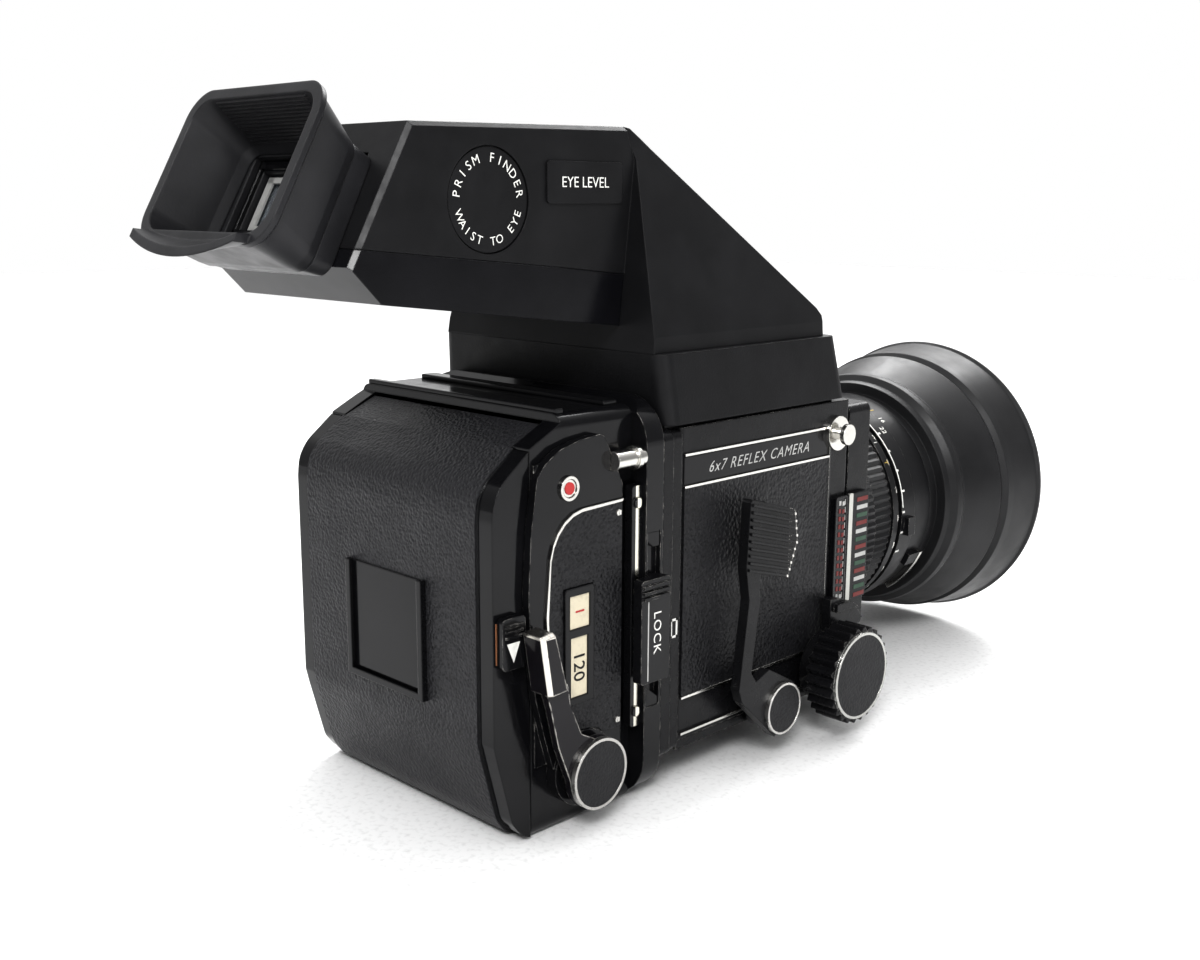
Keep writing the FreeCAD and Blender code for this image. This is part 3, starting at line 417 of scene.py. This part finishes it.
NODE_FINISH = {
    "casing": ["body_casing", "front_standard", "rear_mount_plate", "focus_lock_lever", "base_plate"],
    "gloss": ["holder_frame", "holder_cover", "memo_frame", "scale_plate", "indicator_frame", "dark_slide"],
    "rubbed": ["revolving_adapter", "holder_side_plate", "cover_latch", "holder_lock_slider"],
    "advance": ["advance_lever"],
    "cocking": ["cocking_lever"],
    "trim_lines": ["chrome_trims"],
    "lock_bar": ["adapter_lock_bar"],
    "finder": ["finder_housing", "finder_badges"],
    "finder_low": ["finder_lower_cover"],
    "wrinkle": ["finder_base"],
    "lens_black": ["lens_barrel", "lens_lock_ring", "speed_ring", "aperture_ring"],
    "matt": ["mirror_frame", "light_baffle", "iris_shutter_unit", "pressure_plate"],
    "leather": ["side_panels", "holder_inlay"],
    "cloth": ["bellows"],
    "chrome": ["strap_lugs", "accessory_shoe", "lens_mount", "release_button", "holder_trim"],
    "steel": ["tripod_bush", "mirror_hinge_pin", "focus_shaft", "cover_hinge_pin"],
    "brass": ["focus_racks"],
    "mirror": ["mirror_glass"],
    "rubber": ["rubber_hood"],
    "eyecup": ["eyecup", "eyepiece_frame"],
    "glass": ["front_lens_group", "rear_lens_group", "glass_prism", "eyepiece_lens"],
    "screen": ["focusing_screen"],
    "moulded": ["take_up_spool", "supply_spool"],
    "cream": ["indicator_windows"],
    "knob": ["focus_knobs"],
    "cap": ["cocking_lever_cap", "advance_hub_cap"],
    "distance": ["distance_scale"],
}


def dress_cad_nodes():
    """Give every CAD node its finish."""
    for finish, names in NODE_FINISH.items():
        for name in names:
            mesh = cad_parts[name].data
            mesh.materials.clear()
            mesh.materials.append(MATS[finish])


# ---- piece makers (all sizes in mm) -------------------------------------------------------------
def add_mesh(name, mesh, finish, body):
    """Make a mesh a piece that rides on a body and takes the given finish."""
    piece = bpy.data.objects.new(name, mesh)
    bpy.context.scene.collection.objects.link(piece)
    mesh.materials.clear()
    mesh.materials.append(MATS[finish])
    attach(piece, body)
    return piece


def finish_bmesh(name, bm, finish, body, matrix=None, bevel=0.0):
    """Bevel and place a mesh drawn in mm, scale it to metres and make it a piece."""
    if bevel:
        bmesh.ops.bevel(bm, geom=list(bm.edges), offset=bevel, segments=2, affect="EDGES", profile=0.5)
    if matrix is not None:
        bm.transform(matrix)
    bm.transform(Matrix.Scale(MM, 4))
    bmesh.ops.recalc_face_normals(bm, faces=list(bm.faces))
    mesh = bpy.data.meshes.new(name)
    bm.to_mesh(mesh)
    bm.free()
    return add_mesh(name, mesh, finish, body)


def block(name, lo, hi, finish, body, bevel=0.0):
    bm = bmesh.new()
    bmesh.ops.create_cube(bm, size=1.0)
    lo, hi = Vector(lo), Vector(hi)
    bm.transform(Matrix.Translation((lo + hi) / 2) @ Matrix.Diagonal((*(hi - lo), 1.0)))
    return finish_bmesh(name, bm, finish, body, bevel=bevel)


def blocks(name, boxes, finish, body, matrix=None):
    """Several boxes as one piece."""
    bm = bmesh.new()
    for lo, hi in boxes:
        lo, hi = Vector(lo), Vector(hi)
        part = bmesh.ops.create_cube(bm, size=1.0)
        place = Matrix.Translation((lo + hi) / 2) @ Matrix.Diagonal((*(hi - lo), 1.0))
        bmesh.ops.transform(bm, matrix=place, verts=part["verts"])
    return finish_bmesh(name, bm, finish, body, matrix)


def prism(name, outline, x0, x1, finish, body):
    """A (y, z) outline drawn out along X."""
    bm = bmesh.new()
    ring = [bm.verts.new((x0, y, z)) for y, z in outline]
    face = bm.faces.new(ring)
    made = bmesh.ops.extrude_face_region(bm, geom=[face])
    moved = [g for g in made["geom"] if isinstance(g, bmesh.types.BMVert)]
    bmesh.ops.translate(bm, vec=(x1 - x0, 0, 0), verts=moved)
    return finish_bmesh(name, bm, finish, body)


def disc(name, centre, radius, thick, axis, finish, body, bevel):
    """A disc centred at a point, its face normal along axis."""
    bm = bmesh.new()
    bmesh.ops.create_cone(bm, cap_ends=True, segments=64, radius1=radius, radius2=radius, depth=thick)
    rims = [e for e in bm.edges if abs(e.verts[0].co.z - e.verts[1].co.z) < 1e-6]
    bmesh.ops.bevel(bm, geom=rims, offset=bevel, segments=3, affect="EDGES", profile=0.6)
    turn = Vector((0, 0, 1)).rotation_difference(Vector(axis)).to_matrix().to_4x4()
    return finish_bmesh(name, bm, finish, body, Matrix.Translation(centre) @ turn)


def screw(name, centre, radius, axis, finish, body):
    """A slotted screw head."""
    bm = bmesh.new()
    bmesh.ops.create_cone(bm, cap_ends=True, segments=28, radius1=radius, radius2=radius * 0.86, depth=0.5)
    for side in (-1, 1):
        part = bmesh.ops.create_cube(bm, size=1.0)
        size = Matrix.Diagonal((radius * 1.4, radius * 0.6, 0.2, 1))
        place = Matrix.Translation((0, side * radius * 0.45, 0.3)) @ size
        bmesh.ops.transform(bm, matrix=place, verts=part["verts"])
    turn = Vector((0, 0, 1)).rotation_difference(Vector(axis)).to_matrix().to_4x4()
    return finish_bmesh(name, bm, finish, body, Matrix.Translation(centre) @ turn)


def arc_bar(name, radius, thick, y0, y1, a0, a1, finish, body):
    """A strip curved round the lens axis; angles in degrees from -X, upwards."""
    bm = bmesh.new()
    steps = 24
    rows = []
    for i in range(steps + 1):
        a = math.radians(a0 + (a1 - a0) * i / steps)
        row = []
        for r, y in ((radius, y0), (radius + thick, y0), (radius + thick, y1), (radius, y1)):
            row.append(bm.verts.new((-r * math.cos(a), y, AXIS_Z + r * math.sin(a))))
        rows.append(row)
    for one, two in zip(rows, rows[1:]):
        for k in range(4):
            bm.faces.new((one[k], one[(k + 1) % 4], two[(k + 1) % 4], two[k]))
    bm.faces.new(rows[0])
    bm.faces.new(rows[-1])
    return finish_bmesh(name, bm, finish, body)


def letters(name, text, size, origin, along, up, finish, body, shear=0.0, spacing=1.0):
    """Raised lettering centred on a point of a flat face."""
    curve = bpy.data.curves.new(name, "FONT")
    curve.body = text
    curve.size = size * MM
    curve.extrude = MARK * MM / 2
    curve.shear = shear
    curve.space_character = spacing
    curve.resolution_u = 3
    curve.align_x = "CENTER"
    curve.align_y = "CENTER"
    shaper = bpy.data.objects.new(name, curve)
    bpy.context.scene.collection.objects.link(shaper)
    bpy.context.view_layer.update()
    mesh = bpy.data.meshes.new_from_object(shaper.evaluated_get(bpy.context.evaluated_depsgraph_get()))
    bpy.data.objects.remove(shaper)
    along = Vector(along).normalized()
    up = Vector(up).normalized()
    out = along.cross(up)
    turn = Matrix((along, up, out)).transposed().to_4x4()
    mesh.transform(Matrix.Translation(Vector(origin) * MM) @ turn)
    mesh.name = name
    return add_mesh(name, mesh, finish, body)


def ring_of_letters(name, text, radius, size, centre, side, start, step, finish, body, inward=False):
    """Letters round a circle on a side face; side is -1 or +1 for the face looking along -X or +X."""
    for i, char in enumerate(text):
        if char == " ":
            continue
        a = math.radians(start + step * i)
        across = Vector((0, side, 0))
        radial = across * math.cos(a) + Vector((0, 0, 1)) * math.sin(a)
        tangent = across * math.sin(a) - Vector((0, 0, 1)) * math.cos(a)
        up = -radial if inward else radial
        along = -tangent if inward else tangent
        spot = Vector(centre) + radial * radius
        letters(f"{name}_{i:02d}", char, size, spot, along, up, finish, body)


def lens_figure(name, text, size, radius, y, angle, finish, body):
    """A figure on a lens ring, read from behind the camera; angle in degrees from -X, upwards."""
    a = math.radians(angle)
    out = Vector((-math.cos(a), 0, math.sin(a)))
    up = Vector((0, -1, 0))
    along = up.cross(out)
    spot = Vector((0, y, AXIS_Z)) + out * radius
    letters(name, text, size, spot, along, up, finish, body)


# ---- pieces -------------------------------------------------------------------------------------
SIDES = ((-1, "right"), (1, "left"))
UP = (0, 0, 1)


def body_side():
    """Lettered strip between the upper trims on either side."""
    thick = 0.35
    for side, tag in SIDES:
        x = side * SIDE_X
        near, far = sorted((x, x + side * thick))
        block(f"name_strip_{tag}", (near, -35.4, 85.6), (far, 39.4, 94.4), "gloss", "body")
        letters(f"name_text_{tag}", "6x7 REFLEX CAMERA", 5.0, (x + side * 0.36, 2, 89.6), (0, side, 0), UP,
                "silver", "body", shear=0.35, spacing=1.15)


def outline_mark():
    """Small white outline on the rear mount plate."""
    x0, x1, y0, y1, z0, z1, w = -52.12, -51.9, 42.0, 45.2, 38.0, 44.2, 0.75
    boxes = [((x0, y0, z0), (x1, y1, z0 + w)), ((x0, y0, z1 - w), (x1, y1, z1)),
             ((x0, y0, z0), (x1, y0 + w, z1)), ((x0, y1 - w, z0), (x1, y1, z1))]
    blocks("format_mark", boxes, "white", "body")


def finder_lettering():
    """Words round the round badge and on the oblong one, on either side of the finder."""
    for side, tag in SIDES:
        centre = (side * (33.0 - 0.28), BADGE_Y, BADGE_Z)
        ring_of_letters(f"finder_ring_top_{tag}", "PRISM FINDER", 11.2, 3.6, centre, side,
                        172, -14.8, "white", "body")
        ring_of_letters(f"finder_ring_low_{tag}", "WAIST TO EYE", 11.2, 3.4, centre, side,
                        -158, 12.6, "white", "body", inward=True)
        letters(f"finder_label_{tag}", "EYE LEVEL", 4.3, (side * 33.72, 64.4, 175.6), (0, side, 0), UP,
                "white", "body")


def scales():
    """Focus scale: figures on the fixed plate, coloured blocks on the moving one."""
    rows = 13
    white, red = [], []
    for i in range(rows):
        z = 32.6 + i * 2.82
        target = white if i in (0, rows - 1) else red
        target.append(((-53.16, -44.6, z), (-52.9, -43.2, z + 1.5)))
        target.append(((-53.16, -42.4, z + 0.3), (-52.9, -41.2, z + 1.9)))
        white.append(((-53.16, -45.1, z + 0.2), (-52.9, -44.8, z + 2.2)))
    blocks("scale_figures_red", red, "dull_red", "body")
    blocks("scale_figures_white", white, "silver", "body")
    colours = ["dull_red", "silver", "green"]
    groups = {c: [] for c in colours}
    for i in range(rows):
        z = 31.6 + i * 2.92
        groups[colours[(rows - 1 - i) % 3]].append(((-53.52, -58.2, z), (-53.3, -51.6, z + 1.5)))
    for colour, boxes in groups.items():
        blocks(f"distance_blocks_{colour}", boxes, colour, "standard")


def knob_faces():
    """Grained discs in the rims of the knobs, the advance hub and the cocking lever's cap."""
    for side, tag in SIDES:
        disc(f"knob_skin_{tag}", (side * KNOB_FACE_X, KNOB_Y, KNOB_Z), 14.15, 0.6, (side, 0, 0),
             "leather_disc", "focus_drive", bevel=0.15)
    disc("hub_skin", (-57.85, 81.4, 6.6), 9.85, 0.6, (-1, 0, 0),
         "leather_disc", "advance", bevel=0.12)
    disc("lever_cap_skin", (-62.85, 0, 6), 7.95, 0.5, (-1, 0, 0),
         "leather_disc", "cocking", bevel=0.12)


PAD = [(19.2, 79.9), (-3.9, 73.0), (-5.6, 62.0), (-0.8, 50.4), (20.7, 56.3)]  # (y, z) of the pad's corners
RIDGE_SLOPE = 0.281


def inside(y, z, outline):
    """Whether a point lies in an outline, by counting the sides crossed."""
    hit = False
    for (y0, z0), (y1, z1) in zip(outline, outline[1:] + outline[:1]):
        if (z0 > z) != (z1 > z) and y < (y1 - y0) * (z - z0) / (z1 - z0) + y0:
            hit = not hit
    return hit


def pad_ridges():
    """Slanting grip ridges of the cocking lever's pad, bright where the thumb leaves them."""
    wide, bright_end, margin = 0.9, 0.9, 0.5
    dark, bright = [], []
    for i in range(-1, 11):
        base = 52.9 + i * 2.35

        def rise(y):
            return base + RIDGE_SLOPE * (y + 1.5)

        spots = [-6 + 0.25 * k for k in range(105)]
        spots = [y for y in spots
                 if inside(y - margin, rise(y), PAD) and inside(y + margin, rise(y) + 1.3, PAD)]
        if len(spots) < 8:
            continue
        start, middle, end = spots[0], spots[0] + bright_end, spots[-1]
        for lo, hi, store in ((middle, end, dark), (start, middle, bright)):
            corners = ((lo, 0), (hi, 0), (hi, wide), (lo, wide))
            store.append([(y, rise(y) + dz) for y, dz in corners])
    for tag, store, finish in (("dark", dark, "gloss"), ("bright", bright, "chrome")):
        for k, outline in enumerate(store):
            prism(f"pad_ridge_{tag}_{k:02d}", outline, -62.62, -61.7, finish, "cocking")


def lens_marks():
    """Ticks, figures, bright edges and screws on the lens rings and barrel."""
    for i in range(15):
        angle = -20 + i * 11
        long = i % 3 == 0
        front = -101.6 if long else -100.8
        arc_bar(f"aperture_tick_{i:02d}", SCALE_R, MARK, front, -99.2, angle, angle + 1.1,
                "white", "aperture_dial")
    arc_bar("aperture_line", SCALE_R, MARK, -99.9, -99.3, 5, 150,
            "white", "aperture_dial")
    for i, stop in enumerate(("22", "16", "11", "8", "5.6", "3.8")):
        lens_figure(f"stop_{i}", stop, 3.6, SCALE_R + 0.06, -104.6, 48 + i * 14, "white", "aperture_dial")
    for i, speed in enumerate(("T", "1", "2", "4", "8", "15", "30", "60", "125", "250", "400")):
        colour = "gold" if speed == "T" else "white"
        lens_figure(f"speed_{i:02d}", speed, 3.0, SPEED_R + 0.06, -95.2, 30 + i * 12, colour, "speed_dial")
    depth_r = BARREL_R + 0.06
    lens_figure("depth_gold_0", "11", 4.2, depth_r, -112.0, 66, "gold", "standard")
    lens_figure("depth_gold_1", "8", 4.2, depth_r, -112.0, 76, "gold", "standard")
    lens_figure("depth_white_0", "16", 3.4, depth_r, -111.4, 56, "white", "standard")
    arc_bar("speed_bright_edge", SPEED_R, 0.14, -97.0, -96.3, 0, 360, "chrome", "speed_dial")
    arc_bar("preview_tab", BARREL_R, 2.4, -119.4, -117.6, -54, -24, "chrome", "standard")
    arc_bar("preview_tab_root", BARREL_R, 2.2, -117.6, -110.5, -31, -24, "lens_black", "standard")
    arc_bar("index_line", SCALE_R, 0.14, -73.4, -72.4, 88.6, 91.4, "red", "standard")
    screw_circle = 42.0
    for i in range(4):
        a = math.radians(45 + 90 * i)
        spot = (screw_circle * math.cos(a), -61.05, AXIS_Z + screw_circle * math.sin(a))
        screw(f"mount_screw_{i}", spot, 1.1, (0, -1, 0), "chrome", "standard")


def lens_front():
    """Name ring round the front glass."""
    words = "1:3.8  f=127mm   62"
    for i, char in enumerate(words):
        if char == " ":
            continue
        a = math.radians(150 - i * 7.2)
        out = Vector((math.cos(a), 0, math.sin(a)))
        along = Vector((-math.sin(a), 0, math.cos(a)))
        spot = Vector((0, -121.05, AXIS_Z)) + out * 36.4
        letters(f"lens_name_{i:02d}", char, 2.6, spot, along, out, "white", "standard")


def soften(points, radius):
    """Round the inner corners of an open (y, z) line."""
    out = [points[0]]
    steps = 6
    for last, p, after in zip(points, points[1:], points[2:]):
        p = Vector(p)
        to_last, to_after = Vector(last) - p, Vector(after) - p
        a, b = to_last.normalized(), to_after.normalized()
        half = a.angle(b) / 2
        reach = min(radius / math.tan(half), 0.48 * to_last.length, 0.48 * to_after.length)
        for i in range(steps + 1):
            t = i / steps
            q = p + a * reach * (1 - t) ** 2 + b * reach * t ** 2
            out.append((q.x, q.y))
    return out + [points[-1]]


def skin_strip(name, line, x0, x1, thick, finish, body):
    """A skin of even thickness lying inside a (y, z) line and running from x0 to x1."""
    outer = [Vector(p) for p in line]
    inner = []
    for i, p in enumerate(outer):
        ahead = outer[min(i + 1, len(outer) - 1)] - outer[max(i - 1, 0)]
        ahead.normalize()
        inner.append(p + Vector((ahead.y, -ahead.x)) * thick)
    bm = bmesh.new()
    rings = []
    for x in (x0, x1):
        rings.append([bm.verts.new((x, *p)) for p in outer + inner[::-1]])
    count = len(rings[0])
    for i in range(count):
        k = (i + 1) % count
        bm.faces.new((rings[0][i], rings[0][k], rings[1][k], rings[1][i]))
    half = len(outer)
    for ring in rings:
        for i in range(half - 1):
            bm.faces.new((ring[i], ring[i + 1], ring[count - 2 - i], ring[count - 1 - i]))
    return finish_bmesh(name, bm, finish, body)


def back_skin():
    """Leatherette over the middle of the back cover."""
    line = soften([(99.4, 103.3), (109.35, 95.95), (112.8, 91.1), (113.65, 85.0), (113.65, 20.0),
                   (112.55, 14.9), (107.1, -5.2), (103.2, -10.5), (99.6, -11.7)], 11)
    skin_strip("back_leather", line, -40.7, 40.7, 0.9, "leather_back", "back_cover")
    skin_strip("back_leather_top", [(87.7, 108.45), (93.0, 106.1), (99.4, 103.3)], -39.5, 39.5, 0.7,
               "leather_back", "back_cover")


def back_details():
    """Small parts and marks of the film holder, its cover and the revolving adapter."""
    block("memo_card", (-16.2, 113.85, 29.3), (16.2, 114.2, 63.2), "gloss", "back_cover")
    prism("latch_mark", [(105.2, 50.8), (110.0, 50.8), (107.6, 45.0)], -49.72, -49.5, "white", "latch")
    block("copper_contact", (-47.2, 110.3, 44.5), (-46.8, 111.9, 56.5), "copper", "back_cover")
    block("top_rail_rear", (-44.5, 83.6, 111.7), (44.5, 86.4, 113.3), "gloss", "back",
          bevel=0.35)
    block("top_rail_front", (-43.0, 60.2, 111.8), (43.0, 66.0, 113.4), "gloss", "back",
          bevel=0.5)
    for i, z in enumerate((81.5, 17.5)):
        screw(f"side_screw_{i}", (-50.7, 67.2, z), 1.1, (-1, 0, 0), "chrome", "back")
    down, forward = (0, 0, -1), (0, -1, 0)
    letters("window_film", "120", 6.2, (-50.96, 83.65, 38.4), down, forward, "gloss", "back")
    letters("window_count", "1", 5.0, (-50.96, 83.4, 55.0), down, forward, "red", "back")
    disc("index_seat", (-50.2, INDEX_Y, INDEX_Z), 2.6, 0.6, (-1, 0, 0), "chrome", "back",
         bevel=0.1)
    disc("index_red", (-50.55, INDEX_Y, INDEX_Z), 1.8, 0.6, (-1, 0, 0), "red", "back",
         bevel=0.2)
    for tag, outline in (("low", [(51.9, 19.0), (57.0, 19.0), (57.0, 25.5), (51.9, 21.5)]),
                         ("top", [(51.9, 74.0), (57.0, 74.0), (57.0, 71.2), (54.6, 69.3), (51.9, 69.3)])):
        prism(f"recess_step_{tag}", outline, -53.0, -51.4, "gloss", "back")
    letters("slider_text", "LOCK", 4.6, (-57.06, 56.8, 44.0), down, forward, "white", "slider",
            spacing=1.15)
    block("slider_groove", (-57.1, 60.4, 29.4), (-56.9, 60.9, 54.2), "silver", "slider")


def eyepiece_details():
    """Fine ribs inside the eyecup, the steps round the eyepiece window, and light grey bars round the window
    that are a painted reflection of the prism.

    They are drawn in the frame of the tilted rear face, where d is the distance from that face.
    """
    lean = Matrix.Translation(EYE_POINT) @ Matrix.Rotation(EYE_TILT, 4, "X")
    ribs = []
    for i in range(13):
        d = 9.6 + i * 1.08
        top = -11.0 + (d - 9) * 0.344
        half = 18.6 + (d - 9) * 0.2
        ribs.append(((-half, d, top - 0.28), (half, d + 0.45, top + 0.25)))
    blocks("eyecup_ribs", ribs, "eyecup", "body", lean)
    steps = [((-21.5, 3.05, -36.8), (-20.3, 4.2, -13.2)), ((20.3, 3.05, -36.8), (21.5, 4.2, -13.2)),
             ((-21.5, 3.05, -15.6), (21.5, 4.2, -13.2)), ((-21.5, 3.05, -36.8), (21.5, 4.2, -34.4))]
    blocks("eyepiece_steps", steps, "gloss", "body", lean)
    # painted reflection: light grey bars round the window stand for the prism's reflections
    rim = [((-19.4, 0.6, -33.4), (-16.6, 1.2, -16.6)), ((16.6, 0.6, -33.4), (19.4, 1.2, -16.6)),
           ((-19.4, 0.6, -33.4), (19.4, 1.2, -31.6)), ((-19.4, 0.6, -18.4), (19.4, 1.2, -16.6))]
    blocks("eyepiece_painted_reflection", rim, "silver", "body", lean)


def bellows_cloth():
    """The pleated bellows, copied from its CAD node as one cloth mesh that shows in its place."""
    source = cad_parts["bellows"]
    bm = bmesh.new()
    bm.from_mesh(source.data)
    bm.transform(source.matrix_world)
    bmesh.ops.remove_doubles(bm, verts=list(bm.verts), dist=1e-6)
    verts = [tuple(v.co) for v in bm.verts]
    faces = [[v.index for v in face.verts] for face in bm.faces]
    bm.free()
    mesh = bpy.data.meshes.new("bellows_cloth")
    mesh.from_pydata(verts, [], faces)
    mesh.materials.append(MATS["cloth"])
    piece = bpy.data.objects.new("bellows_cloth", mesh)
    bpy.context.scene.collection.objects.link(piece)
    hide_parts("bellows")
    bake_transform(piece)


# ---- set ----------------------------------------------------------------------------------------
def stage_floor():
    """Pale floor under the lowest CAD point."""
    low = cad_bounds[0][2]
    mesh = bpy.data.meshes.new("floor")
    verts = [(FLOOR_REACH * x, FLOOR_REACH * y, low) for x, y in ((-1, -1), (1, -1), (1, 1), (-1, 1))]
    mesh.from_pydata(verts, [], [(0, 1, 2, 3)])
    floor = bpy.data.objects.new("floor", mesh)
    bpy.context.scene.collection.objects.link(floor)
    mesh.materials.append(paint("floor_pale", (0.82, 0.82, 0.82), 0.7))


def area_light(name, spot, target, size, watts):
    data = bpy.data.lights.new(name, "AREA")
    data.shape = "RECTANGLE"
    data.size = size[0]
    data.size_y = size[1]
    data.energy = watts
    lamp = bpy.data.objects.new(name, data)
    lamp.location = spot
    lamp.rotation_euler = (Vector(target) - Vector(spot)).to_track_quat("-Z", "Y").to_euler()
    bpy.context.scene.collection.objects.link(lamp)


def studio_world():
    """White room: bright overhead and beyond the lens, dimmer on the film side, shown with deep blacks."""
    world = bpy.data.worlds.new("studio")
    world.use_nodes = True
    nodes, links = world.node_tree.nodes, world.node_tree.links
    coords = nodes.new("ShaderNodeTexCoord")

    def toward(direction, low, high, bottom, top):
        dot = nodes.new("ShaderNodeVectorMath")
        dot.operation = "DOT_PRODUCT"
        dot.inputs[1].default_value = direction
        links.new(coords.outputs["Generated"], dot.inputs[0])
        node = nodes.new("ShaderNodeMapRange")
        node.interpolation_type = "SMOOTHSTEP"
        for key, value in (("From Min", low), ("From Max", high), ("To Min", bottom), ("To Max", top)):
            node.inputs[key].default_value = value
        links.new(dot.outputs["Value"], node.inputs["Value"])
        return node.outputs[0]

    total = nodes.new("ShaderNodeMath")
    total.operation = "ADD"
    links.new(toward((0.69, -0.70, 0.0), -0.1, 0.75, 0.40, 1.0), total.inputs[0])
    links.new(toward((0.0, 0.0, 1.0), 0.45, 0.95, 0.0, 1.3), total.inputs[1])
    back = nodes["Background"]
    back.inputs[0].default_value = (1.0, 1.0, 1.0, 1.0)
    links.new(total.outputs[0], back.inputs[1])
    bpy.context.scene.world = world
    bpy.context.scene.view_settings.view_transform = "Standard"
    bpy.context.scene.view_settings.gamma = 0.8


# name, place, point aimed at, width and height, all in metres, then watts
LIGHTS = [
    ("key", (-0.85, 0.95, 1.05), (0, 0.05, 0.1), (0.5, 0.4), 18),
    ("side_strip", (-1.35, 0.35, 0.35), (0, 0, 0.08), (0.12, 1.1), 4),
    ("rim_top", (0.4, -0.9, 1.0), (0, 0, 0.1), (1.0, 0.5), 16),
]


def light_set():
    studio_world()
    for light in LIGHTS:
        area_light(*light)


def photo_camera():
    """The camera solved from the photograph."""
    forward = CAMERA_AIM.normalized()
    level = forward.cross(Vector(UP)).normalized()
    upright = level.cross(forward)
    right = level * math.cos(CAMERA_ROLL) + upright * math.sin(CAMERA_ROLL)
    up = upright * math.cos(CAMERA_ROLL) - level * math.sin(CAMERA_ROLL)
    data = bpy.data.cameras.new("photo_camera")
    data.lens = 40.61
    data.sensor_width = 36.0
    data.clip_start = 0.01
    camera = bpy.data.objects.new("photo_camera", data)
    turn = Matrix((right, up, -forward)).transposed().to_4x4()
    camera.matrix_world = Matrix.Translation(CAMERA_SPOT) @ turn
    bpy.context.scene.collection.objects.link(camera)
    bpy.context.scene.camera = camera


dress_cad_nodes()
body_side()
outline_mark()
finder_lettering()
scales()
knob_faces()
pad_ridges()
lens_marks()
lens_front()
back_skin()
back_details()
eyepiece_details()
bellows_cloth()
stage_floor()
light_set()
photo_camera()
